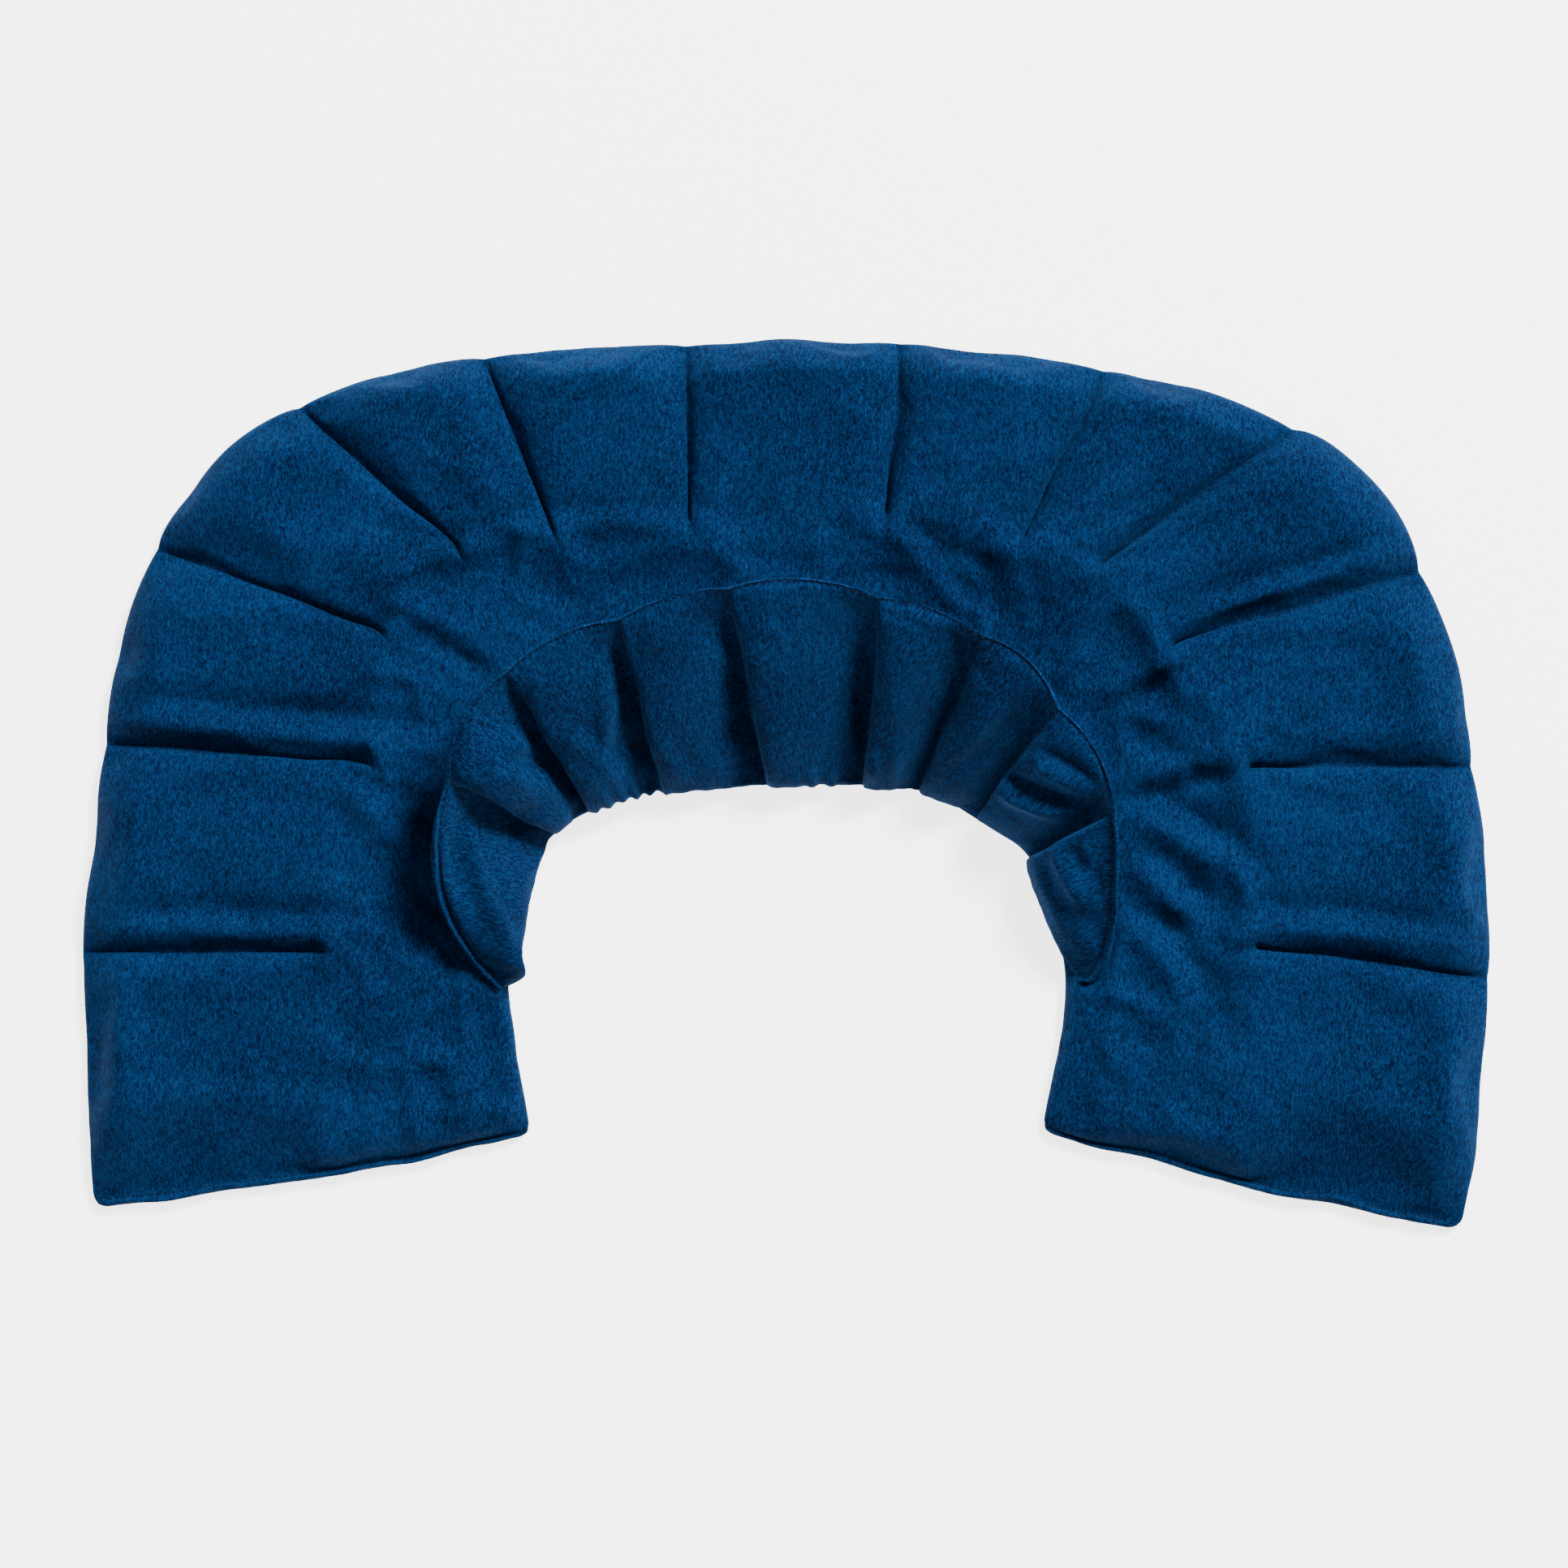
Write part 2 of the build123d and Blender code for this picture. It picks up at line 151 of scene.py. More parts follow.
def rounded_corner(plan: np.ndarray, corner: np.ndarray, beside: np.ndarray, below: np.ndarray,
                   radius: float) -> np.ndarray:
    """Draws the plan in at one corner, so that its edges meet in an arc.

    Args:
        plan: places in the plane.
        corner: the corner's place.
        beside: the far end of one edge.
        below: the far end of the other edge.
        radius: the arc's radius, in metres.

    Returns:
        The places, moved where they lie within the radius of both edges.
    """
    first = (beside - corner) / np.linalg.norm(beside - corner)
    second = (below - corner) / np.linalg.norm(below - corner)
    frame_of_corner = np.column_stack([first, second])
    places = (plan - corner) @ np.linalg.inv(frame_of_corner).T
    inside = np.maximum(radius - places, 0.0)
    inside *= (places > -radius).all(axis=-1, keepdims=True)
    far = np.hypot(inside[..., 0], inside[..., 1])
    near = inside.max(axis=-1)
    drawn = inside * (near / np.maximum(far, TINY))[..., None]
    return plan + (inside - drawn) @ frame_of_corner.T


def crowded_steps(count: int, crowding: float) -> np.ndarray:
    """Returns count + 1 shares from 0 to 1, closer together at both ends."""
    even = np.linspace(0.0, 1.0, count + 1)
    return crowding * (1 - np.cos(np.pi * even)) / 2 + (1 - crowding) * even


def within_chambers(columns: int, marks: list[int], crowding: float) -> np.ndarray:
    """Says where each grid column lies in its chamber.

    Args:
        columns: how many columns the grid has.
        marks: the columns where the chambers start and end.
        crowding: how closely the columns crowd towards the seams.

    Returns:
        A share from 0 to 1 for each column, and 0 outside the chambers.
    """
    within = np.zeros(columns)
    for a, b in zip(marks[:-1], marks[1:]):
        within[a:b + 1] = crowded_steps(b - a, crowding)
    return within


def edge_of_grid(rows: int, columns: int) -> np.ndarray:
    """Marks the points on the outer edge of a grid.

    Args:
        rows: how many rows it has.
        columns: how many columns it has.

    Returns:
        True for each point on the edge.
    """
    edge = np.zeros((rows, columns), dtype=bool)
    edge[[0, -1], :] = True
    edge[:, [0, -1]] = True
    return edge


def runs_between(corners: tuple[Pair, ...], places: np.ndarray) -> tuple[np.ndarray, ...]:
    """Finds places on the straight runs between corners.

    Args:
        corners: the runs' ends.
        places: how far along the runs, where a whole number is a corner.

    Returns:
        The places in the plane, the way out to the left there, each place's share of its run and
        the run's number.
    """
    points = np.array(corners)
    span = np.clip(np.floor(places).astype(int), 0, len(corners) - 2)
    part = (places - span)[:, None]
    a, b = points[span], points[span + 1]
    run = (b - a) / np.linalg.norm(b - a, axis=1, keepdims=True)
    out = np.stack([-run[:, 1], run[:, 0]], axis=1)
    return a + (b - a) * part, out, part, span


def deselect_all() -> None:
    """Leaves object mode on and nothing selected."""
    if bpy.context.object is not None and bpy.context.object.mode != "OBJECT":
        bpy.ops.object.mode_set(mode="OBJECT")
    bpy.ops.object.select_all(action="DESELECT")


def pick(piece: bpy.types.Object) -> None:
    """Makes piece the only selected object, and the active one.

    Args:
        piece: the object.
    """
    deselect_all()
    piece.select_set(True)
    bpy.context.view_layer.objects.active = piece


def apply_modifiers(piece: bpy.types.Object) -> None:
    """Applies every modifier of a piece, first to last.

    Args:
        piece: the piece.
    """
    pick(piece)
    for name in [modifier.name for modifier in piece.modifiers]:
        bpy.ops.object.modifier_apply(modifier=name)


def new_piece(name: str, points: np.ndarray, faces: np.ndarray) -> bpy.types.Object:
    """Makes an object from points and faces.

    Args:
        name: the object's name.
        points: one row for each point, in metres.
        faces: one row of point numbers for each face.

    Returns:
        The object.
    """
    data = bpy.data.meshes.new(name)
    data.from_pydata(points.tolist(), [], faces.tolist())
    piece = bpy.data.objects.new(name, data)
    bpy.context.scene.collection.objects.link(piece)
    return piece


def read_values(items: bpy.types.bpy_prop_collection, name: str, width: int = 1,
                kind: type = float) -> np.ndarray:
    """Reads one property of every item of a mesh.

    Args:
        items: the points, edges, corners or attribute values.
        name: the property.
        width: how many numbers it has.
        kind: the type of its numbers.

    Returns:
        One value for each item, or one row where the width is more than 1.
    """
    values = np.empty(len(items) * width, dtype=kind)
    items.foreach_get(name, values)
    return values.reshape(-1, width) if width > 1 else values


# ---------------------------------------------------------------- finishes


@dataclass(frozen=True)
class Nodes:
    """A material's node tree, with short calls to add and join nodes."""

    tree: bpy.types.NodeTree

    def add(self, kind: str, **values: object) -> bpy.types.Node:
        """Adds a node; each value sets the property or else the input of that name.

        Args:
            kind: the node's type, without its first word.
            values: the values, by name with _ for each space.

        Returns:
            The node.
        """
        node = self.tree.nodes.new("ShaderNode" + kind)
        for name, value in values.items():
            if hasattr(node, name):
                setattr(node, name, value)
            else:
                node.inputs[name.replace("_", " ")].default_value = value
        return node

    def join(self, source: bpy.types.NodeSocket, target: bpy.types.NodeSocket) -> None:
        """Links one socket to another."""
        self.tree.links.new(source, target)

    def maths(self, operation: str, first: bpy.types.NodeSocket, second: object) -> bpy.types.NodeSocket:
        """Joins two values by a sum.

        Args:
            operation: the sum's name.
            first: the first value.
            second: the second value, a socket or a number.

        Returns:
            The result.
        """
        node = self.add("Math", operation=operation)
        self.join(first, node.inputs[0])
        if isinstance(second, (int, float)):
            node.inputs[1].default_value = second
        else:
            self.join(second, node.inputs[1])
        return node.outputs[0]

    def colour(self, shader: bpy.types.Node, share: bpy.types.NodeSocket,
               stops: tuple[tuple[float, Colour], ...]) -> None:
        """Colours the shader by a ramp.

        Args:
            shader: the shader.
            share: what drives the ramp.
            stops: a place and a colour for each stop, first to last.
        """
        ramp = self.add("ValToRGB")
        elements = ramp.color_ramp.elements
        for element, (place, colour) in zip(elements, (stops[0], stops[-1])):
            element.position = place
            element.color = colour
        for place, colour in stops[1:-1]:
            elements.new(place).color = colour
        self.join(share, ramp.inputs["Fac"])
        self.join(ramp.outputs["Color"], shader.inputs["Base Color"])

    def emboss(self, shader: bpy.types.Node, height: bpy.types.NodeSocket, strength: float,
               distance: float) -> None:
        """Raises the shader's surface by a pattern.

        Args:
            shader: the shader.
            height: the pattern.
            strength: how much of it shows.
            distance: how high it is, in metres.
        """
        bump = self.add("Bump", Strength=strength, Distance=distance)
        self.join(height, bump.inputs["Height"])
        self.join(bump.outputs["Normal"], shader.inputs["Normal"])


def new_material(name: str, **values: object) -> tuple[bpy.types.Material, Nodes, bpy.types.Node]:
    """Starts a material.

    Args:
        name: its name.
        values: the shader's values, by the input's name with _ for each space.

    Returns:
        The material, its nodes and its shader.
    """
    material = bpy.data.materials.new(name)
    material.use_nodes = True
    shader = material.node_tree.nodes["Principled BSDF"]
    for socket, value in values.items():
        shader.inputs[socket.replace("_", " ")].default_value = value
    return material, Nodes(material.node_tree), shader


class Lay(Enum):
    """What the pile's streaks follow."""

    OBJECT = "the whole piece, combed one way"
    CLOTH = "the piece's own UV map"


@dataclass(frozen=True)
class PlushFinish:
    """Short navy plush: combed streaks, brushed patches, a soft blue sheen."""

    name: str
    lay: Lay
    turn: float = math.radians(-20.0)
    clump: float = 0.55 * MM
    stretch: float = 0.42
    patch: float = 34 * MM
    dark: Colour = (0.0002, 0.0026, 0.0125, 1.0)
    middle: Colour = (0.0007, 0.0130, 0.0530, 1.0)
    light: Colour = (0.0018, 0.0310, 0.1040, 1.0)
    sheen_tint: Colour = (0.03, 0.30, 0.80, 1.0)
    relief: float = 1.0 * MM
    relief_strength: float = 0.8
    finer: float = 0.45
    contrast: float = 2.95
    patchiness: float = 0.36
    depth: float = 1.15
    roughness: float = 0.92
    gloss: float = 0.05
    sheen: float = 0.12
    sheen_spread: float = 0.42

    def combed(self, nodes: Nodes, clump: float) -> bpy.types.NodeSocket:
        """Returns noise stretched along the pile, with clumps of the given width.

        Args:
            nodes: the material's nodes.
            clump: width of one clump, in metres.

        Returns:
            The noise's socket.
        """
        place = nodes.add("TexCoord")
        mapping = nodes.add("Mapping")
        mapping.inputs["Rotation"].default_value = (0.0, 0.0, self.turn)
        mapping.inputs["Scale"].default_value = (1.0, self.stretch, self.stretch)
        source = "Object" if self.lay is Lay.OBJECT else "UV"
        nodes.join(place.outputs[source], mapping.inputs["Vector"])
        noise = nodes.add("TexNoise", Scale=0.5 / clump, Detail=4.0, Roughness=0.68, Distortion=0.8)
        nodes.join(mapping.outputs[0], noise.inputs["Vector"])
        return noise.outputs["Fac"]

    def brushed(self, nodes: Nodes) -> bpy.types.NodeSocket:
        """Returns broad soft patches where the pile was brushed another way.

        Args:
            nodes: the material's nodes.

        Returns:
            The noise's socket.
        """
        place = nodes.add("TexCoord")
        noise = nodes.add("TexNoise", Scale=0.5 / self.patch, Detail=2.5, Roughness=0.55, Distortion=0.6)
        nodes.join(place.outputs["Object"], noise.inputs["Vector"])
        return noise.outputs["Fac"]

    def make(self) -> bpy.types.Material:
        """Builds the material.

        Returns:
            The material.
        """
        material, nodes, shader = new_material(
            self.name, Roughness=self.roughness, Specular_IOR_Level=self.gloss, Sheen_Weight=self.sheen,
            Sheen_Roughness=self.sheen_spread, Sheen_Tint=self.sheen_tint)
        streaks = nodes.maths("MULTIPLY", self.combed(nodes, self.clump), 0.5)
        fine = nodes.maths("MULTIPLY", self.combed(nodes, self.clump * self.finer), 0.5)
        pile = nodes.maths("ADD", streaks, fine)
        shade = nodes.maths("MULTIPLY", pile, self.contrast)
        shade = nodes.maths("ADD", shade, nodes.maths("MULTIPLY", self.brushed(nodes), self.patchiness))
        shade = nodes.maths("SUBTRACT", shade, self.depth)
        nodes.colour(shader, shade, ((0.22, self.dark), (0.5, self.middle), (0.80, self.light)))
        nodes.emboss(shader, pile, self.relief_strength, self.relief)
        return material


@dataclass(frozen=True)
class ThreadFinish:
    """Dark polyester sewing thread, with its two-ply twist."""

    name: str = "navy_thread"
    dark: Colour = (0.0002, 0.0016, 0.0070, 1.0)
    light: Colour = (0.0006, 0.0070, 0.0260, 1.0)
    twist: float = 0.35 * MM
    relief: float = 0.1 * MM
    relief_strength: float = 0.4

    def make(self) -> bpy.types.Material:
        """Builds the material.

        Returns:
            The material.
        """
        material, nodes, shader = new_material(self.name, Roughness=0.55, Specular_IOR_Level=0.1)
        place = nodes.add("TexCoord")
        wave = nodes.add("TexWave", bands_direction="DIAGONAL", Scale=0.16 / self.twist, Distortion=1.5)
        nodes.join(place.outputs["Object"], wave.inputs["Vector"])
        nodes.colour(shader, wave.outputs["Fac"], ((0.0, self.dark), (1.0, self.light)))
        nodes.emboss(shader, wave.outputs["Fac"], self.relief_strength, self.relief)
        return material


@dataclass(frozen=True)
class FloorFinish:
    """A lit white sweep."""

    name: str = "white_sweep"
    colour: Colour = (0.92, 0.92, 0.92, 1.0)
    glow: float = 3.3

    def make(self) -> bpy.types.Material:
        """Builds the material."""
        return new_material(self.name, Base_Color=self.colour, Roughness=0.9, Specular_IOR_Level=0.1,
                            Emission_Color=WHITE, Emission_Strength=self.glow)[0]


# ---------------------------------------------------------------- quilted cloth


@dataclass
class Quilt:
    """Two sheets of cloth over one grid of rows and columns, sewn together where `sewn` is True."""

    name: str
    top: np.ndarray
    under: np.ndarray
    sewn: np.ndarray
    edge: np.ndarray
    cloth: np.ndarray

    def numbers(self, joined: np.ndarray) -> tuple[np.ndarray, np.ndarray]:
        """Numbers the points of both sheets, with one point for both where joined is True.

        Args:
            joined: where the sheets share a point.

        Returns:
            The point numbers of the upper sheet, and of the under sheet.
        """
        rows, columns = joined.shape
        top = np.arange(rows * columns).reshape(rows, columns)
        under = top.copy()
        free = ~joined
        under[free] = rows * columns + np.arange(int(free.sum()))
        return top, under

    def points(self, joined: np.ndarray) -> np.ndarray:
        """Lists the points in the order of their numbers."""
        return np.vstack([self.top.reshape(-1, 3), self.under[~joined]])

    def faces(self, joined: np.ndarray) -> np.ndarray:
        """Lists the four-sided faces of both sheets, all turned outwards.

        Args:
            joined: where the sheets share a point.

        Returns:
            Four point numbers for each face.
        """
        sheets = []
        for number, order in zip(self.numbers(joined), ((0, 3, 2, 1), (0, 1, 2, 3))):
            corners = np.stack([number[:-1, :-1], number[1:, :-1], number[1:, 1:], number[:-1, 1:]], axis=-1)
            sheets.append(corners.reshape(-1, 4)[:, order])
        return np.vstack(sheets)

    def mesh(self, name: str, joined: np.ndarray) -> bpy.types.Object:
        """Makes an object of both sheets, sewn where joined is True."""
        return new_piece(name, self.points(joined), self.faces(joined))

    def inflate(self, pressure: float, ease: float, reach: float) -> None:
        """Blows the chambers up by cloth simulation, held at every sewn point.

        Args:
            pressure: push on the cloth from inside.
            ease: share by which the cloth is cut larger than the space it is sewn into.
            reach: the furthest that a point may move, in metres.
        """
        piece = self.mesh(self.name + "_blown", self.sewn)
        start = self.points(self.sewn)
        held = piece.vertex_groups.new(name="sewn")
        held.add(self.numbers(self.sewn)[0][self.sewn].tolist(), 1.0, "REPLACE")
        pick(piece)
        cloth = piece.modifiers.new("blown", "CLOTH")
        for name, value in PLUSH_CLOTH.items():
            setattr(cloth.settings, name, value)
        cloth.settings.vertex_group_mass = held.name
        cloth.settings.uniform_pressure_force = pressure
        cloth.settings.shrink_min = -ease
        cloth.settings.effector_weights.gravity = 0.0
        cloth.collision_settings.use_collision = False
        cloth.point_cache.frame_start = 1
        cloth.point_cache.frame_end = BLOWN_AFTER
        for moment in range(1, BLOWN_AFTER + 1):
            bpy.context.scene.frame_set(moment)
        bpy.ops.object.modifier_apply(modifier=cloth.name)
        bpy.context.scene.frame_set(1)
        step = read_values(piece.data.vertices, "co", 3) - start
        length = np.linalg.norm(step, axis=1, keepdims=True)
        step *= np.minimum(1.0, reach / np.maximum(length, TINY))
        moved = start + step
        log.info("%s blown: greatest move %.1f mm", self.name, float(length.max()) / MM)
        rows, columns = self.sewn.shape
        self.top = moved[:rows * columns].reshape(rows, columns, 3)
        self.under = self.top.copy()
        self.under[~self.sewn] = moved[rows * columns:]
        bpy.data.objects.remove(piece)

    def finished(self, creased: np.ndarray, crease: float) -> "Sewn":
        """Closes the cloth along its edge only, subdivides it once and reads it back.

        Args:
            creased: where a line of sewing keeps a sharp groove.
            crease: how sharp, from 0 to 1.

        Returns:
            The finished cloth.
        """
        piece = self.mesh(self.name + "_whole", self.edge)
        data = piece.data
        rows, columns = self.sewn.shape
        free = ~self.edge
        station = np.broadcast_to(np.arange(columns, dtype=float), (rows, columns))
        row = np.broadcast_to(np.arange(rows, dtype=float)[:, None], (rows, columns))
        values = {"side": np.concatenate([free.ravel(), -np.ones(int(free.sum()))])}
        for name, each in (("slack", self.slack()), ("station", station), ("row", row)):
            values[name] = np.concatenate([each.ravel(), each[free]])
        for name, each in values.items():
            data.attributes.new(name, "FLOAT", "POINT").data.foreach_set("value", each.astype(np.float32))
        grain = np.vstack([self.cloth.reshape(-1, 2), self.cloth[free]])
        loops = read_values(data.loops, "vertex_index", kind=int)
        data.uv_layers.new(name="cloth").data.foreach_set("uv", grain[loops].astype(np.float32).ravel())
        marked = np.concatenate([creased.ravel(), creased[free]])
        ends = read_values(data.edges, "vertices", 2, int)
        sharp = marked[ends].all(axis=1).astype(np.float32) * crease
        data.attributes.new("crease_edge", "FLOAT", "EDGE").data.foreach_set("value", sharp)
        finer = piece.modifiers.new("finer", "SUBSURF")
        finer.levels = 1
        finer.render_levels = 1
        apply_modifiers(piece)
        sewn = Sewn.read(piece)
        bpy.data.objects.remove(piece)
        return sewn

    def slack(self) -> np.ndarray:
        """Says how free each grid point is: 0 where it is sewn, 1 from four points away.

        Returns:
            One value for each grid point.
        """
        free = np.where(self.sewn, 0.0, 1.0)
        total = free.copy()
        for _ in range(3):
            grown = free.copy()
            grown[1:] = np.minimum(grown[1:], free[:-1])
            grown[:-1] = np.minimum(grown[:-1], free[1:])
            grown[:, 1:] = np.minimum(grown[:, 1:], free[:, :-1])
            grown[:, :-1] = np.minimum(grown[:, :-1], free[:, 1:])
            free = grown
            total += free
        return total / 4.0


@dataclass
class Sewn:
    """Finished cloth as plain arrays, ready for listed folds and for parting into pieces."""

    points: np.ndarray
    faces: np.ndarray
    grain: np.ndarray
    side: np.ndarray
    slack: np.ndarray
    station: np.ndarray
    row: np.ndarray

    @staticmethod
    def read(piece: bpy.types.Object) -> "Sewn":
        """Reads the points, faces, UV map and attributes of a piece.

        Args:
            piece: the piece, with the UV map and the attributes that Quilt.finished gives it.

        Returns:
            The finished cloth.
        """
        data = piece.data
        points = read_values(data.vertices, "co", 3)
        corners = read_values(data.loops, "vertex_index", kind=int)
        grain = read_values(data.uv_layers["cloth"].data, "uv", 2)
        values = {}
        for name in ("side", "slack", "station", "row"):
            values[name] = read_values(data.attributes[name].data, "value")
        return Sewn(points, corners.reshape(-1, 4), grain.reshape(-1, 4, 2), **values)

    def normals(self) -> np.ndarray:
        """Returns the smooth normal of every point.

        Returns:
            One unit vector for each point.
        """
        corners = self.points[self.faces]
        flat = np.cross(corners[:, 2] - corners[:, 0], corners[:, 3] - corners[:, 1])
        total = np.zeros_like(self.points)
        for corner in range(4):
            np.add.at(total, self.faces[:, corner], flat)
        return total / np.maximum(np.linalg.norm(total, axis=1, keepdims=True), 1e-12)

    def part(self, name: str, first: float, last: float, material: bpy.types.Material) -> bpy.types.Object:
        """Makes one piece of the cloth between two stations, shaded as if it were still whole.

        Args:
            name: the piece's name.
            first: the station where it starts.
            last: the station where it ends.
            material: its finish.

        Returns:
            The piece.
        """
        middle = self.station[self.faces].mean(axis=1)
        kept = (middle > first) & (middle < last)
        used, renumbered = np.unique(self.faces[kept], return_inverse=True)
        piece = new_piece(name, self.points[used], renumbered.reshape(-1, 4))
        data = piece.data
        data.uv_layers.new(name="cloth").data.foreach_set("uv", self.grain[kept].astype(np.float32).ravel())
        data.shade_smooth()
        data.normals_split_custom_set_from_vertices(self.normals()[used].tolist())
        data.materials.append(material)
        log.info("%s: %d faces", name, int(kept.sum()))
        return piece


@dataclass(frozen=True)
class Fold:
    """A soft ridge in the cloth, with a valley along its left side. Places are shares of the half width."""

    start: Pair
    end: Pair
    width: float
    lift: float
    bow: float = 0.0
    valley: float = 0.8

    def height(self, places: np.ndarray, unit: float) -> np.ndarray:
        """Returns how far the fold lifts the cloth at each place.

        Args:
            places: points in metres.
            unit: metres in one share.

        Returns:
            The lift at each place, in metres.
        """
        a, b = np.array(self.start) * unit, np.array(self.end) * unit
        run = b - a
        length = float(np.hypot(*run))
        along = run / length
        aside = np.array([-along[1], along[0]])
        share = (places[:, :2] - a) @ along / length
        offset = (places[:, :2] - a) @ aside - self.bow * unit * 4 * share * (1 - share)
        taper = smooth_step(share / 0.28) * smooth_step((1 - share) / 0.4)
        width = self.width * MM
        ridge = np.exp(-((offset / width) ** 2))
        hollow = np.exp(-(((offset - 1.5 * width) / width) ** 2))
        return self.lift * MM * taper * (ridge - self.valley * hollow)


# ---------------------------------------------------------------- stitches


@dataclass
class Stitches:
    """Lockstitches, modelled once and copied along lines of sewing."""

    material: bpy.types.Material
    pitch: float = 3.4 * MM
    length: float = 2.7 * MM
    thickness: float = 0.62 * MM
    proud: float = 0.25 * MM

    def one_stitch(self) -> tuple[np.ndarray, np.ndarray]:
        """Models one stitch along X that dips into the cloth at both ends.

        Returns:
            Its points, and its faces padded to four corners.
        """
        deselect_all()
        bpy.ops.mesh.primitive_uv_sphere_add(segments=6, ring_count=6, radius=self.thickness / 2)
        piece = bpy.context.object
        bpy.ops.object.mode_set(mode="EDIT")
        bpy.ops.mesh.select_all(action="SELECT")
        bpy.ops.transform.rotate(value=math.pi / 2, orient_axis="Y", center_override=(0.0, 0.0, 0.0))
        bpy.ops.transform.resize(value=(self.length / self.thickness, 1.0, 0.8))
        bpy.ops.object.mode_set(mode="OBJECT")
        for vertex in piece.data.vertices:
            share = 2 * vertex.co.x / self.length
            vertex.co.z -= 0.45 * self.thickness * share ** 4
        bpy.ops.object.mode_set(mode="EDIT")
        bpy.ops.mesh.select_all(action="SELECT")
        bpy.ops.mesh.quads_convert_to_tris()
        bpy.ops.object.mode_set(mode="OBJECT")
        points = np.array([vertex.co[:] for vertex in piece.data.vertices])
        faces = np.array([polygon.vertices[:] for polygon in piece.data.polygons])
        bpy.data.objects.remove(piece)
        return points, faces

    def along(self, line: np.ndarray, up: np.ndarray) -> list[np.ndarray]:
        """Places stitches along a line.

        Args:
            line: the points of the sewing line.
            up: the way out of the cloth at each point.

        Returns:
            A 4 by 4 frame for each stitch.
        """
        steps = np.linalg.norm(np.diff(line, axis=0), axis=1)
        far = np.concatenate([[0.0], np.cumsum(steps)])
        count = max(1, int(far[-1] / self.pitch))
        frames = []
        for number in range(count):
            here = (number + 0.5) * far[-1] / count
            reach = (here - self.length / 2, here, here + self.length / 2)
            a, middle, b = (np.array([np.interp(s, far, line[:, k]) for k in range(3)]) for s in reach)
            out = np.array([np.interp(here, far, up[:, k]) for k in range(3)])
            forward = (b - a) / max(np.linalg.norm(b - a), TINY)
            aside = np.cross(out, forward)
            aside /= max(np.linalg.norm(aside), TINY)
            out = np.cross(forward, aside)
            frame_of_stitch = np.eye(4)
            frame_of_stitch[:3, 0] = forward
            frame_of_stitch[:3, 1] = aside
            frame_of_stitch[:3, 2] = out
            frame_of_stitch[:3, 3] = middle + out * self.proud
            frames.append(frame_of_stitch)
        return frames

    def sew(self, name: str, lines: list[Line]) -> bpy.types.Object:
        """Copies the stitch along every line and joins the copies in one piece.

        Args:
            name: the piece's name.
            lines: the points of each sewing line, and the way out of the cloth there.

        Returns:
            The piece.
        """
        points, faces = self.one_stitch()
        frames = [each for line, up in lines for each in self.along(line, up)]
        all_points = np.vstack([points @ each[:3, :3].T + each[:3, 3] for each in frames])
        all_faces = np.vstack([faces + number * len(points) for number in range(len(frames))])
        piece = new_piece(name, all_points, all_faces)
        piece.data.shade_smooth()
        piece.data.materials.append(self.material)
        log.info("%s: %d stitches", name, len(frames))
        return piece


# ---------------------------------------------------------------- the wrap


